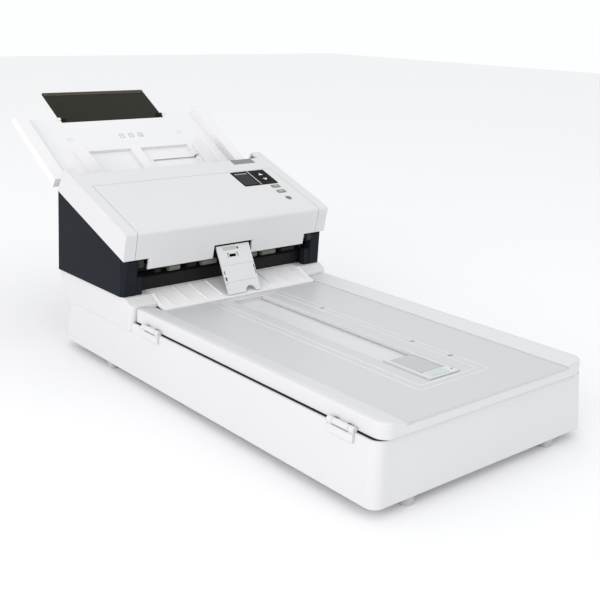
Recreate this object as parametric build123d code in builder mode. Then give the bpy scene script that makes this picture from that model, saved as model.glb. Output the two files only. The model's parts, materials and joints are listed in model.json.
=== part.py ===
from build123d import *
from math import cos, hypot, pi, radians, sin, tan
import os

# Document scanner: a sheet feeder standing on the back of a flatbed base.
# Frame: +Z up, the feeder's exit and the flatbed face -Y, +X to the operator's right.
# The origin is on the floor, under the middle of the whole outline.

os.makedirs("parts", exist_ok=True)

# ---------------------------------------------------------------- driving dimensions, mm
# flatbed base
base_width = 344.0
base_depth = 590.0
base_corner = 12.0
base_draft = 3.8          # degrees, the side walls lean in
foot_height = 10.0
foot_radius = 8.0
foot_places = [(115.0, 10.5), (160.0, 477.0), (146.0, 564.0)]  # half spacing, depth
wall = 2.6
floor = 2.5
housing_top = 77.5
neck_seam = 65.0          # the base shell ends here behind the flatbed
neck_front_depth = 422.0  # from the base's front face
neck_top = 105.5
neck_half_width = 169.0
# flatbed
glass_width = 228.0
glass_length = 364.0
glass_thickness = 2.5
glass_front_depth = 26.0
glass_ledge = 4.0
frame_thickness = 5.0
rod_radius = 4.0
pulley_radius = 6.0
belt_thickness = 1.2
# lid
lid_inset = 9.0           # from the side of the base to the lid
lid_half_width = base_width / 2 - lid_inset
lid_front_depth = 1.5
lid_rear_depth = 405.0
lid_horn_depth = 420.5    # the side rims run on beside the exit ramp
lid_bottom = 79.0
lid_floor = 90.7
lid_rim_top = 96.0
lid_rim_width = 31.5
lid_panel_half_width = lid_half_width - lid_rim_width
lid_panel_thickness = 2.4
pad_thickness = 3.4
channel_centre = -2.0
channel_half_width = 23.5
channel_front_depth = 61.0
channel_rear_depth = 394.0
channel_floor = 84.5
slider_length = 68.0
stopper_length = 44.0
lid_hinge_radius = 3.4
lid_hinge_height = 79.6
lid_hinge_inset = 4.8
lid_hinge_x = lid_hinge_inset - base_width / 2
lid_hinge_length = 36.0
lid_hinge_seat = 10.0
lid_hinge_depths = (52.0, 380.0)
# feeder
feeder_half_width = 171.5
panel_thickness = 8.0
feeder_front_depth = 437.0
feeder_rear_depth = 605.0
feeder_foot_setback = 4.0
cover_front_height = 190.0
cover_skirt_front = 153.5
cover_half_width = 172.5
cover_angle = 20.7        # degrees, fall of the top towards the front
cover_wall = 3.0
cover_face_setback = 6.5
ear_depth = 587.0         # how far back the top reaches at the sides
spine_depth = 571.0       # and in the middle
cap_width = 17.0
insert_rear_depth = 541.0
lip_bottom = 138.5
lip_half_width = 134.0
hinge_depth = 443.0       # the cover and the exit flap swing about one line
hinge_height = 147.0
hinge_pin_radius = 3.0
# paper path, straight from the tray to the exit
path_angle = 31.0
throat_height = 213.0
path_half_width = 148.0
tray_length = 163.0
tray_half_width = 171.0
tray_wall_width = 19.0
tray_wall_height = 10.6
tray_skin = 3.0
extension_length = 68.0
extension_thickness = 3.5
extension_tail = 7.0      # the plate runs on past its pivot, over the notch in the tray
extension_half_width = 92.0
guide_half_gap = 104.5
guide_height = 25.0
guide_length = 78.0
# fits
running = 0.05            # shaft in a bore, on the radius
gap = 0.3                 # moving or mating faces
seam = 0.6                # visible joint lines


# ---------------------------------------------------------------- frame and helpers
slope = radians(path_angle)
extension_hinge = tray_length - 2.5
tip_run = extension_hinge + extension_length
overall_depth = feeder_rear_depth + tip_run * cos(slope) + extension_thickness * sin(slope)
base_front = -overall_depth / 2
base_rear = base_front + base_depth
base_middle = base_front + base_depth / 2
neck_front = base_front + neck_front_depth
throat_y = base_front + feeder_rear_depth
hinge_y = base_front + hinge_depth
path = Plane(origin=(0, throat_y, throat_height), x_dir=(0, cos(slope), sin(slope)), z_dir=(1, 0, 0))


def on_path(along, above):
    """World Y and Z of a point given along and square to the paper path."""
    return (
        throat_y + along * cos(slope) - above * sin(slope),
        throat_height + along * sin(slope) + above * cos(slope),
    )


def block(x, y, z, mode=Mode.ADD, corner=0.0):
    """A box from its three (low, high) pairs, with rounded upright corners if asked."""
    with BuildSketch(Plane.XY.offset(z[0])) as outline:
        with Locations(((x[0] + x[1]) / 2, (y[0] + y[1]) / 2)):
            if corner:
                RectangleRounded(x[1] - x[0], y[1] - y[0], corner)
            else:
                Rectangle(x[1] - x[0], y[1] - y[0])
    extrude(outline.sketch, amount=z[1] - z[0], mode=mode)


def prism(x, profile, mode=Mode.ADD, plane=Plane.YZ):
    """A side profile run across the machine from x[0] to x[1]."""
    with BuildSketch(plane.offset(x[0])) as outline:
        with BuildLine():
            Polyline(*profile, close=True)
        make_face()
    extrude(outline.sketch, amount=x[1] - x[0], mode=mode)


def strip(x, along, above, mode=Mode.ADD):
    """A box lined up with the paper path."""
    low, high = above
    prism(x, [(along[0], low), (along[1], low), (along[1], high), (along[0], high)], mode, path)


def shaft(x, centre, radius, mode=Mode.ADD, plane=Plane.YZ):
    """A cylinder across the machine from x[0] to x[1]."""
    with BuildSketch(plane.offset(x[0])) as outline:
        with Locations(centre):
            Circle(radius)
    extrude(outline.sketch, amount=x[1] - x[0], mode=mode)


def post(centre, radius, z, mode=Mode.ADD):
    """An upright cylinder."""
    with BuildSketch(Plane.XY.offset(z[0])) as outline:
        with Locations(centre):
            Circle(radius)
    extrude(outline.sketch, amount=z[1] - z[0], mode=mode)


def base_outline(z, inset):
    """The base's plan at a height, moved in from the outer skin."""
    lean = (z - foot_height) * tan(radians(base_draft))
    width = base_width - 2 * (lean + inset)
    depth = base_depth - 2 * (lean + inset)
    with BuildSketch(Plane.XY.offset(z)) as outline:
        with Locations((0, base_middle)):
            RectangleRounded(width, depth, base_corner - min(inset, base_corner / 2))
    return outline.sketch


def base_half_width(z, inset=0.0):
    """Half the base's width at a height."""
    return base_width / 2 - (z - foot_height) * tan(radians(base_draft)) - inset


# ---------------------------------------------------------------- flatbed base
rod_x = -60.0
rod_z = 48.0
belt_x = 30.0
belt_z = 50.0
belt_width = 4.0
glass_front = base_front + glass_front_depth
glass_rear = glass_front + glass_length
rod_front = base_front + 12.0
rod_rear = neck_front - 6.0
pulley_front = base_front + 22.0
pulley_rear = neck_front - 16.0
frame_bottom = housing_top - 0.5 - frame_thickness
boss_radius = 5.0
boss_spots = [
    (side * (base_half_width(housing_top) - 14.0), base_front + depth)
    for side in (-1, 1)
    for depth in (50.0, neck_front_depth / 2, neck_front_depth - 14.0)
]
socket_z = 30.0
jack_x = -110.0
usb_x = -70.0
jack_size = 11.0
usb_width = 13.0
usb_height = 12.0
board_x = (-130.0, 40.0)
board_y = (base_rear - 120.0, base_rear - 18.0)
board_z = 22.0

with BuildPart() as base_housing:
    # outer shell, drawn in towards the top
    loft([base_outline(foot_height, 0).face(), base_outline(housing_top, 0).face()])
    fillet(base_housing.edges().group_by(Axis.Z)[0], 2.0)
    loft(
        [base_outline(foot_height + floor, wall).face(), base_outline(housing_top + 0.01, wall).face()],
        mode=Mode.SUBTRACT,
    )
    # the walls stop lower behind the flatbed, where the neck stands on them
    block(
        (-base_width, base_width),
        (neck_front, base_rear + 10),
        (neck_seam, housing_top + 10),
        Mode.SUBTRACT,
    )
    # bosses that carry the flatbed's top frame
    for spot in boss_spots:
        post(spot, boss_radius, (foot_height + floor - 0.1, frame_bottom))
    # end blocks for the carriage rod
    for y in (rod_front, rod_rear - 8.0):
        block((rod_x - 8, rod_x + 8), (y, y + 8.0), (foot_height + floor - 0.1, rod_z + 7))
    with BuildSketch(Plane.XZ.offset(-rod_rear - 1)) as bore:
        with Locations((rod_x, rod_z)):
            Circle(rod_radius + running)
    extrude(bore.sketch, amount=rod_rear - rod_front + 2, mode=Mode.SUBTRACT)
    # pin for the idler pulley
    post((belt_x, pulley_front), 2.5, (foot_height + floor - 0.1, belt_z + belt_width / 2 + 3))
    # seats for the lid hinges in the left wall
    for depth in lid_hinge_depths:
        block(
            (-base_half_width(housing_top, -4.0), -base_half_width(housing_top, wall)),
            (
                base_front + depth - lid_hinge_length / 2 - gap,
                base_front + depth + lid_hinge_length / 2 + gap,
            ),
            (housing_top - lid_hinge_seat - gap, housing_top + 5),
            Mode.SUBTRACT,
        )
    # board stand-offs
    for x in (board_x[0] + 6, board_x[1] - 6):
        for y in (board_y[0] + 6, board_y[1] - 6):
            post((x, y), 3.0, (foot_height + floor - 0.1, board_z))
    # openings for the sockets
    for x, width, height in ((jack_x, jack_size, jack_size), (usb_x, usb_width, usb_height)):
        block(
            (x - width / 2 - gap, x + width / 2 + gap),
            (base_rear - 16, base_rear + 2),
            (socket_z - height / 2 - gap, socket_z + height / 2 + gap),
            Mode.SUBTRACT,
        )
base_housing.part.label = "base_housing"
export_step(base_housing.part, "parts/base_housing.step")

frame_half = base_half_width(housing_top, wall + gap)
frame_front = base_front + base_width / 2 - base_half_width(housing_top) + wall + gap
frame_rear = neck_front - gap
window_half = glass_width / 2 - glass_ledge
with BuildPart() as flatbed_frame:
    block(
        (-frame_half, frame_half),
        (frame_front, frame_rear),
        (frame_bottom, frame_bottom + frame_thickness),
    )
    fillet(flatbed_frame.edges().filter_by(Axis.Z).group_by(Axis.Y)[0], base_corner - wall)
    # the glass drops into a rabbet, flush with the top
    block(
        (-glass_width / 2 - gap, glass_width / 2 + gap),
        (glass_front - gap, glass_rear + gap),
        (frame_bottom + frame_thickness - glass_thickness - 0.2, frame_bottom + frame_thickness + 1),
        Mode.SUBTRACT,
    )
    block(
        (-window_half, window_half),
        (glass_front + glass_ledge, glass_rear - glass_ledge),
        (frame_bottom - 1, frame_bottom + frame_thickness),
        Mode.SUBTRACT,
    )
flatbed_frame.part.label = "flatbed_frame"
export_step(flatbed_frame.part, "parts/flatbed_frame.step")

glass_bottom = frame_bottom + frame_thickness - glass_thickness - 0.2
with BuildPart() as platen_glass:
    block(
        (-glass_width / 2, glass_width / 2),
        (glass_front, glass_rear),
        (glass_bottom, glass_bottom + glass_thickness),
        corner=2.0,
    )
platen_glass.part.label = "platen_glass"
export_step(platen_glass.part, "parts/platen_glass.step")

with BuildPart() as base_feet:
    for side_sign in (-1, 1):
        for half_spacing, depth in foot_places:
            post((side_sign * half_spacing, base_front + depth), foot_radius, (0, foot_height))
    fillet(base_feet.edges().group_by(Axis.Z)[0], 1.0)
base_feet.part.label = "base_feet"
export_step(base_feet.part, "parts/base_feet.step")

# ---------------------------------------------------------------- flatbed drive
with BuildPart() as guide_rod:
    with BuildSketch(Plane.XZ.offset(-rod_rear)) as section:
        with Locations((rod_x, rod_z)):
            Circle(rod_radius)
    extrude(section.sketch, amount=rod_rear - rod_front)
guide_rod.part.label = "guide_rod"
export_step(guide_rod.part, "parts/guide_rod.step")

sensor_depth = 18.0
sensor_height = 12.0
sensor_half = window_half - 3.0
sensor_rear = glass_rear - glass_ledge - 2.0
sensor_front = sensor_rear - sensor_depth
sensor_top = glass_bottom - 0.5
sensor_bottom = sensor_top - sensor_height
with BuildPart() as flatbed_scan_module:
    block((-sensor_half, sensor_half), (sensor_front, sensor_rear), (sensor_bottom, sensor_top))
    # slot for the rod lenses
    block(
        (-sensor_half + 6, sensor_half - 6),
        (sensor_front + 7, sensor_front + 11),
        (sensor_top - 1, sensor_top + 1),
        Mode.SUBTRACT,
    )
flatbed_scan_module.part.label = "flatbed_scan_module"
export_step(flatbed_scan_module.part, "parts/flatbed_scan_module.step")

jaw_in = belt_x + pulley_radius + gap
jaw_out = jaw_in + belt_thickness
carriage_middle = (sensor_front + sensor_rear) / 2
with BuildPart() as scan_carriage:
    block((-sensor_half, sensor_half), (sensor_front, sensor_rear), (sensor_bottom - 3, sensor_bottom))
    # slider on the rod
    block(
        (rod_x - 12, rod_x + 12),
        (carriage_middle - 15, carriage_middle + 15),
        (rod_z - 9, sensor_bottom - 2),
    )
    # two jaws that hold one run of the belt
    for x in ((jaw_in - gap - 3, jaw_in - gap), (jaw_out + gap, jaw_out + gap + 3)):
        block(x, (carriage_middle - 6, carriage_middle + 6), (belt_z - belt_width / 2, sensor_bottom - 2))
    with BuildSketch(Plane.XZ.offset(-carriage_middle - 20)) as bore:
        with Locations((rod_x, rod_z)):
            Circle(rod_radius + running)
    extrude(bore.sketch, amount=40, mode=Mode.SUBTRACT)
scan_carriage.part.label = "scan_carriage"
export_step(scan_carriage.part, "parts/scan_carriage.step")

with BuildPart() as flatbed_belt:
    with BuildSketch(Plane.XY.offset(belt_z - belt_width / 2)) as loop:
        with Locations((belt_x, (pulley_front + pulley_rear) / 2)):
            with Locations(Rotation(0, 0, 90)):
                run = pulley_rear - pulley_front
                SlotCenterToCenter(run, 2 * (pulley_radius + gap + belt_thickness))
                SlotCenterToCenter(run, 2 * (pulley_radius + gap), mode=Mode.SUBTRACT)
    extrude(amount=belt_width)
flatbed_belt.part.label = "flatbed_belt"
export_step(flatbed_belt.part, "parts/flatbed_belt.step")

pulley_low = belt_z - belt_width / 2 - 1.5
pulley_high = belt_z + belt_width / 2 + 1.5
motor_top = pulley_low - 4
with BuildPart() as drive_pulley:
    spot = (belt_x, pulley_rear)
    post(spot, pulley_radius, (pulley_low, pulley_high))
    post(spot, pulley_radius + 2, (pulley_low - 1, pulley_low + 0.8))
    post(spot, pulley_radius + 2, (pulley_high - 0.8, pulley_high))
    post(spot, 2.5, (motor_top - 14, pulley_low))
drive_pulley.part.label = "drive_pulley"
export_step(drive_pulley.part, "parts/drive_pulley.step")

with BuildPart() as idler_pulley:
    spot = (belt_x, pulley_front)
    post(spot, pulley_radius, (pulley_low, pulley_high))
    post(spot, pulley_radius + 2, (pulley_low - 1, pulley_low + 0.8))
    post(spot, pulley_radius + 2, (pulley_high - 0.8, pulley_high))
    post(spot, 2.5 + running, (pulley_low - 2, pulley_high + 1), Mode.SUBTRACT)
idler_pulley.part.label = "idler_pulley"
export_step(idler_pulley.part, "parts/idler_pulley.step")

with BuildPart() as flatbed_motor:
    spot = (belt_x, pulley_rear)
    post(spot, 17.5, (foot_height + floor, motor_top))
    fillet(flatbed_motor.edges().group_by(Axis.Z)[-1], 1.5)
    post(spot, 2.5 + running, (motor_top - 15, motor_top + 1), Mode.SUBTRACT)
flatbed_motor.part.label = "flatbed_motor"
export_step(flatbed_motor.part, "parts/flatbed_motor.step")

# ---------------------------------------------------------------- board and sockets
with BuildPart() as main_board:
    block(board_x, board_y, (board_z, board_z + 1.6))
    # processor, memory and plugs
    block((-60, -32), (board_y[0] + 30, board_y[0] + 58), (board_z + 1.6, board_z + 4))
    block((-20, -6), (board_y[0] + 34, board_y[0] + 54), (board_z + 1.6, board_z + 3))
    block((8, 34), (board_y[0] + 10, board_y[0] + 16), (board_z + 1.6, board_z + 9))
    block((-126, -104), (board_y[0] + 20, board_y[0] + 44), (board_z + 1.6, board_z + 12))
main_board.part.label = "main_board"
export_step(main_board.part, "parts/main_board.step")

socket_skin = base_rear - (socket_z - foot_height) * tan(radians(base_draft)) - 0.4
with BuildPart() as rear_sockets:
    block(
        (jack_x - jack_size / 2, jack_x + jack_size / 2),
        (socket_skin - 14, socket_skin),
        (socket_z - jack_size / 2, socket_z + jack_size / 2),
    )
    block(
        (usb_x - usb_width / 2, usb_x + usb_width / 2),
        (socket_skin - 14, socket_skin),
        (socket_z - usb_height / 2, socket_z + usb_height / 2),
    )
    with BuildSketch(Plane.XZ.offset(-socket_skin)) as mouth:
        with Locations((jack_x, socket_z)):
            Circle(3.2)
        with Locations((usb_x, socket_z)):
            Rectangle(usb_width - 4, usb_height - 3.5)
    extrude(mouth.sketch, amount=10, mode=Mode.SUBTRACT)
    # contact pin of the power jack and contact block of the data socket
    with BuildSketch(Plane.XZ.offset(-socket_skin + 1)) as contacts:
        with Locations((jack_x, socket_z)):
            Circle(1.0)
        with Locations((usb_x, socket_z)):
            Rectangle(usb_width - 8, usb_height - 8)
    extrude(contacts.sketch, amount=10)
rear_sockets.part.label = "rear_sockets"
export_step(rear_sockets.part, "parts/rear_sockets.step")

# ---------------------------------------------------------------- neck and exit ramp
ramp_half = 130.0
ramp_top_y = base_front + 452.0
ramp_top_z = 104.8
ramp_foot_y = base_front + lid_rear_depth + 1.0
ramp_foot_z = 92.1
ramp_skin = 2.4
fascia_y = base_front + 456.0
neck_rear = base_front + 606.0
cheek_fall = 9.0
cheek_run = 15.0
with BuildPart() as neck_cover:
    with BuildSketch(Plane.YZ.offset(-neck_half_width)) as side:
        with BuildLine():
            Polyline(
                (base_rear - 1, neck_seam),
                (neck_front, neck_seam),
                (neck_front, neck_top),
                (neck_rear - 4, neck_top),
                (neck_rear, neck_top - 4),
                (neck_rear, neck_top - 8),
            )
            ThreePointArc(
                (neck_rear, neck_top - 8),
                (base_rear + 3.5, neck_seam + 19),
                (base_rear - 1, neck_seam),
            )
        make_face()
    extrude(side.sketch, amount=2 * neck_half_width)
    fillet(neck_cover.edges().filter_by(Axis.Z).group_by(Axis.Y)[0], base_corner - 4)
    # open below, one wall thick
    hollows = [
        (neck_front + wall, neck_top - cheek_fall - wall),
        (neck_front + cheek_run + 1, neck_top - wall),
    ]
    for start, top in hollows:
        block(
            (-neck_half_width + wall, neck_half_width - wall),
            (start, base_rear - 6),
            (neck_seam - 1, top),
            Mode.SUBTRACT,
        )
    # seat for the ramp
    block(
        (-ramp_half, ramp_half),
        (neck_front - 1, fascia_y - gap),
        (neck_top - 20, neck_top + 1),
        Mode.SUBTRACT,
    )
    # the cheeks on both sides of the ramp fall away to the front
    for side_x in ((-neck_half_width - 1, -ramp_half), (ramp_half, neck_half_width + 1)):
        prism(
            side_x,
            [
                (neck_front - 1, neck_top - cheek_fall),
                (neck_front + 4, neck_top - cheek_fall + 3),
                (neck_front + cheek_run, neck_top),
                (neck_front + cheek_run, neck_top + 2),
                (neck_front - 1, neck_top + 2),
            ],
            Mode.SUBTRACT,
        )
neck_cover.part.label = "neck_cover"
export_step(neck_cover.part, "parts/neck_cover.step")


def ramp_height(y):
    """Height of the ramp's floor at a station."""
    share = (y - ramp_foot_y) / (ramp_top_y - ramp_foot_y)
    return ramp_foot_z + share * (ramp_top_z - ramp_foot_z)


rib_first = 30.5
rib_pitch = 27.4
with BuildPart() as exit_ramp:
    half = ramp_half - gap
    prism(
        (-half, half),
        [
            (ramp_foot_y, ramp_foot_z),
            (ramp_top_y, ramp_top_z),
            (fascia_y - 2 * gap, ramp_top_z),
            (fascia_y - 2 * gap, ramp_top_z - ramp_skin),
            (ramp_top_y, ramp_top_z - ramp_skin),
            (ramp_foot_y + ramp_skin, ramp_foot_z - ramp_skin),
            (ramp_foot_y + ramp_skin, lid_bottom + 1),
            (ramp_foot_y, lid_bottom + 1),
        ],
    )
    # side walls up to the cheeks
    for low in (-half, half - 5):
        prism(
            (low, low + 5),
            [
                (ramp_foot_y + 3, ramp_height(ramp_foot_y + 3) - 1),
                (ramp_top_y, ramp_top_z - 1),
                (fascia_y - 2 * gap, ramp_top_z - 1),
                (fascia_y - 2 * gap, neck_top),
                (neck_front + 15, neck_top),
                (neck_front + 4, neck_top - 6),
            ],
        )
    # ribs that carry the sheet
    for k in range(4):
        for side_sign in (-1, 1):
            x = side_sign * (rib_first + k * rib_pitch)
            prism(
                (x - 0.8, x + 0.8),
                [
                    (ramp_foot_y + 5.5, ramp_height(ramp_foot_y + 5.5) - 0.5),
                    (ramp_foot_y + 9, ramp_height(ramp_foot_y + 9) + 1.8),
                    (ramp_top_y - 2, ramp_height(ramp_top_y - 2) + 1.8),
                    (ramp_top_y + 1, ramp_top_z - 0.5),
                ],
            )
exit_ramp.part.label = "exit_ramp"
export_step(exit_ramp.part, "parts/exit_ramp.step")

# ---------------------------------------------------------------- lid
lid_front = base_front + lid_front_depth
lid_rear = base_front + lid_rear_depth
horn_rear = base_front + lid_horn_depth
panel_bottom = lid_floor - lid_panel_thickness
channel_front = base_front + channel_front_depth
channel_rear = base_front + channel_rear_depth
channel_lip = 2.0          # height of the flare along the channel's top edge
channel_flare = 4.5
groove_height = 2.0
groove_depth = 2.2


def lengthwise(y, profile, mode=Mode.ADD):
    """A front-view profile run from y[0] back to y[1]."""
    with BuildSketch(Plane.XZ.offset(-y[1])) as outline:
        with BuildLine():
            Polyline(*profile, close=True)
        make_face()
    extrude(outline.sketch, amount=y[1] - y[0], mode=mode)


def cut_channel():
    """The stopper's channel: a flared top, straight sides and a wider groove along the floor."""
    c = channel_centre
    h = channel_half_width
    lengthwise(
        (channel_front, channel_rear),
        [
            (c - h - channel_flare, lid_floor + 0.01),
            (c - h, lid_floor - channel_lip),
            (c - h, channel_floor + groove_height),
            (c - h - groove_depth, channel_floor + groove_height),
            (c - h - groove_depth, channel_floor),
            (c + h + groove_depth, channel_floor),
            (c + h + groove_depth, channel_floor + groove_height),
            (c + h, channel_floor + groove_height),
            (c + h, lid_floor - channel_lip),
            (c + h + channel_flare, lid_floor + 0.01),
        ],
        Mode.SUBTRACT,
    )


hinge_ys = [base_front + depth for depth in lid_hinge_depths]
knuckle_half = lid_hinge_length / 2 - 7.0
tab_length = 13.0
tab_thickness = 2.6
with BuildPart() as lid_shell:
    with BuildSketch(Plane.XY.offset(lid_bottom)) as plan:
        with Locations((0, (lid_front + horn_rear) / 2)):
            Rectangle(2 * lid_half_width, horn_rear - lid_front)
    extrude(amount=lid_rim_top - lid_bottom)
    fillet(lid_shell.edges().filter_by(Axis.Z).group_by(Axis.Y)[0], 14)
    fillet(lid_shell.edges().filter_by(Axis.Z).group_by(Axis.Y)[-1], 4)
    fillet(lid_shell.faces().sort_by(Axis.Z)[-1].edges(), 3.0)
    # sheet bed between the side rims, open to the front and the back
    rim_flat = lid_half_width - 8
    lengthwise(
        (lid_front - 1, horn_rear + 1),
        [
            (-rim_flat, lid_rim_top + 0.01),
            (-lid_panel_half_width - gap, lid_floor + 0.9),
            (-lid_panel_half_width - gap, panel_bottom),
            (lid_panel_half_width + gap, panel_bottom),
            (lid_panel_half_width + gap, lid_floor + 0.9),
            (rim_flat, lid_rim_top + 0.01),
        ],
        Mode.SUBTRACT,
    )
    cut_channel()
    block(
        (-lid_panel_half_width - gap, lid_panel_half_width + gap),
        (lid_rear, horn_rear + 1),
        (lid_bottom - 1, lid_rim_top),
        Mode.SUBTRACT,
    )
    # seat for the white backing pad
    block(
        (-glass_width / 2 - 2, glass_width / 2 + 2),
        (glass_front - 2, glass_rear + 2),
        (lid_bottom - 1, lid_bottom - 1 + pad_thickness),
        Mode.SUBTRACT,
    )
    # finger undercut at the free front corner
    lengthwise(
        (lid_front - 1, lid_front + 34),
        [
            (lid_half_width - 14, lid_bottom - 0.01),
            (lid_half_width + 1, lid_bottom - 0.01),
            (lid_half_width + 1, lid_bottom + 7),
        ],
        Mode.SUBTRACT,
    )
    # seats for the hinge tabs
    for y in hinge_ys:
        block(
            (-lid_half_width - 1, -lid_half_width + tab_length + gap),
            (y - knuckle_half - gap, y + knuckle_half + gap),
            (lid_bottom - 1, lid_bottom + tab_thickness),
            Mode.SUBTRACT,
        )
lid_shell.part.label = "lid_shell"
export_step(lid_shell.part, "parts/lid_shell.step")

with BuildPart() as lid_bed:
    block((-lid_panel_half_width, lid_panel_half_width), (lid_front, lid_rear), (panel_bottom, lid_floor))
    cut_channel()
lid_bed.part.label = "lid_bed"
export_step(lid_bed.part, "parts/lid_bed.step")

with BuildPart() as lid_pad:
    block(
        (-glass_width / 2, glass_width / 2),
        (glass_front, glass_rear),
        (lid_bottom - 1, lid_bottom - 1 + pad_thickness),
        corner=3.0,
    )
lid_pad.part.label = "lid_pad"
export_step(lid_pad.part, "parts/lid_pad.step")

pin_radius = 1.6
with BuildPart() as lid_hinge_arms:
    for y in hinge_ys:
        with BuildSketch(Plane.XZ.offset(-y - knuckle_half)) as knuckle:
            with Locations((lid_hinge_x, lid_hinge_height)):
                Circle(lid_hinge_radius)
        extrude(knuckle.sketch, amount=2 * knuckle_half)
        block(
            (lid_hinge_x, -lid_half_width + tab_length),
            (y - knuckle_half, y + knuckle_half),
            (lid_bottom, lid_bottom + tab_thickness),
        )
        with BuildSketch(Plane.XZ.offset(-y - lid_hinge_length / 2)) as pin:
            with Locations((lid_hinge_x, lid_hinge_height)):
                Circle(pin_radius)
        extrude(pin.sketch, amount=lid_hinge_length)
lid_hinge_arms.part.label = "lid_hinge_arms"
export_step(lid_hinge_arms.part, "parts/lid_hinge_arms.step")

bracket_x = (lid_hinge_x - lid_hinge_radius, -base_half_width(housing_top, wall))
bracket_low = housing_top - lid_hinge_seat
with BuildPart() as lid_hinge_brackets:
    for y in hinge_ys:
        low = y - lid_hinge_length / 2
        high = y + lid_hinge_length / 2
        block(bracket_x, (low, high), (bracket_low, lid_hinge_height - lid_hinge_radius - gap))
        for end in ((low, y - knuckle_half - gap), (y + knuckle_half + gap, high)):
            block(
                (bracket_x[0] + 1, bracket_x[1] - 0.5),
                end,
                (lid_hinge_height - lid_hinge_radius - 1, lid_hinge_height),
            )
            with BuildSketch(Plane.XZ.offset(-end[1])) as knuckle:
                with Locations((lid_hinge_x, lid_hinge_height)):
                    Circle(lid_hinge_radius)
            extrude(knuckle.sketch, amount=end[1] - end[0])
        with BuildSketch(Plane.XZ.offset(-high - 1)) as bore:
            with Locations((lid_hinge_x, lid_hinge_height)):
                Circle(pin_radius + running)
        extrude(bore.sketch, amount=lid_hinge_length + 2, mode=Mode.SUBTRACT)
lid_hinge_brackets.part.label = "lid_hinge_brackets"
export_step(lid_hinge_brackets.part, "parts/lid_hinge_brackets.step")

slider_front = channel_front + 2.0
slider_top = lid_floor + 0.8
slider_half = channel_half_width - gap
stopper_thickness = 2.2
stopper_pin_y = slider_front + 20.0
stopper_pin_z = lid_floor - 1.6
stopper_half = slider_half - 3.5
with BuildPart() as stopper_slider:
    c = channel_centre
    foot_half = channel_half_width + groove_depth - gap
    slider_rear = slider_front + slider_length
    block(
        (c - foot_half, c + foot_half),
        (slider_front, slider_rear),
        (channel_floor + gap, channel_floor + groove_height - gap),
    )
    # U-shaped body: a raised front block and two side rails
    block(
        (c - slider_half, c + slider_half),
        (slider_front, stopper_pin_y - 4),
        (channel_floor + 1, slider_top),
    )
    for x in ((c - slider_half, c - stopper_half - gap), (c + stopper_half + gap, c + slider_half)):
        block(x, (stopper_pin_y - 5, slider_rear), (channel_floor + 1, slider_top))
    block(
        (c - slider_half, c + slider_half),
        (slider_front, slider_rear),
        (channel_floor + 1, stopper_pin_z - stopper_thickness / 2 - 1.4),
    )
    shaft(
        (c - stopper_half - 2.6, c + stopper_half + 2.6),
        (stopper_pin_y, stopper_pin_z),
        1.0 + running,
        Mode.SUBTRACT,
    )
stopper_slider.part.label = "stopper_slider"
export_step(stopper_slider.part, "parts/stopper_slider.step")

with BuildPart() as stopper_plate:
    c = channel_centre
    block(
        (c - stopper_half, c + stopper_half),
        (stopper_pin_y, stopper_pin_y + stopper_length),
        (stopper_pin_z - stopper_thickness / 2, stopper_pin_z + stopper_thickness / 2),
    )
    shaft((c - stopper_half, c + stopper_half), (stopper_pin_y, stopper_pin_z), stopper_thickness / 2 + 0.5)
    shaft((c - stopper_half - 2.3, c + stopper_half + 2.3), (stopper_pin_y, stopper_pin_z), 1.0)
stopper_plate.part.label = "stopper_plate"
export_step(stopper_plate.part, "parts/stopper_plate.step")

# ---------------------------------------------------------------- feeder: side panels and back
cover_lean = tan(radians(cover_angle))
face_top_y = base_front + feeder_front_depth - cover_face_setback - 1.0
skirt_front_y = base_front + feeder_front_depth - 1.0


def cover_height(y):
    """Height of the cover's top plane."""
    return cover_front_height + (y - face_top_y) * cover_lean


def skirt_height(y):
    """Height of the cover's lower edge at the sides."""
    return cover_skirt_front + (y - skirt_front_y) * cover_lean


def face_station(z):
    """Y of the cover's front face at a height, which leans back towards the bottom."""
    share = (cover_front_height - z) / (cover_front_height - cover_skirt_front)
    return face_top_y + share * (skirt_front_y - face_top_y)


# rollers along the path: station, distance under or over the sheet, tyre radius
shaft_radius = 3.0
feed_station = -35.0
feed_radius = 12.0
transport_station = -85.0
transport_radius = 9.0
exit_station = -157.0
exit_radius = 8.0
bush_radius = 6.0
inner_half = feeder_half_width - panel_thickness
pillar_half = 150.0
pillar_toe_half = 141.0   # the pillar's foot reaches in under the cover's hinge
pillar_toe_top = 129.0
driven = {
    "feed_roller": (feed_station, feed_radius),
    "transport_roller": (transport_station, transport_radius),
    "exit_roller": (exit_station, exit_radius),
}
bush_depth = panel_thickness - 2.0
panel_rear = throat_y
tray_axis = (6.0, -8.0)


pin_end = 160.0           # the cover's hinge pins stop short of the bevelled corner
pin_bore_end = pin_end + 0.5
hinge_relief = 1.8        # the panel's top front corner dips to let the skirt swing past
relief_y = skirt_front_y + 4.5


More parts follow.
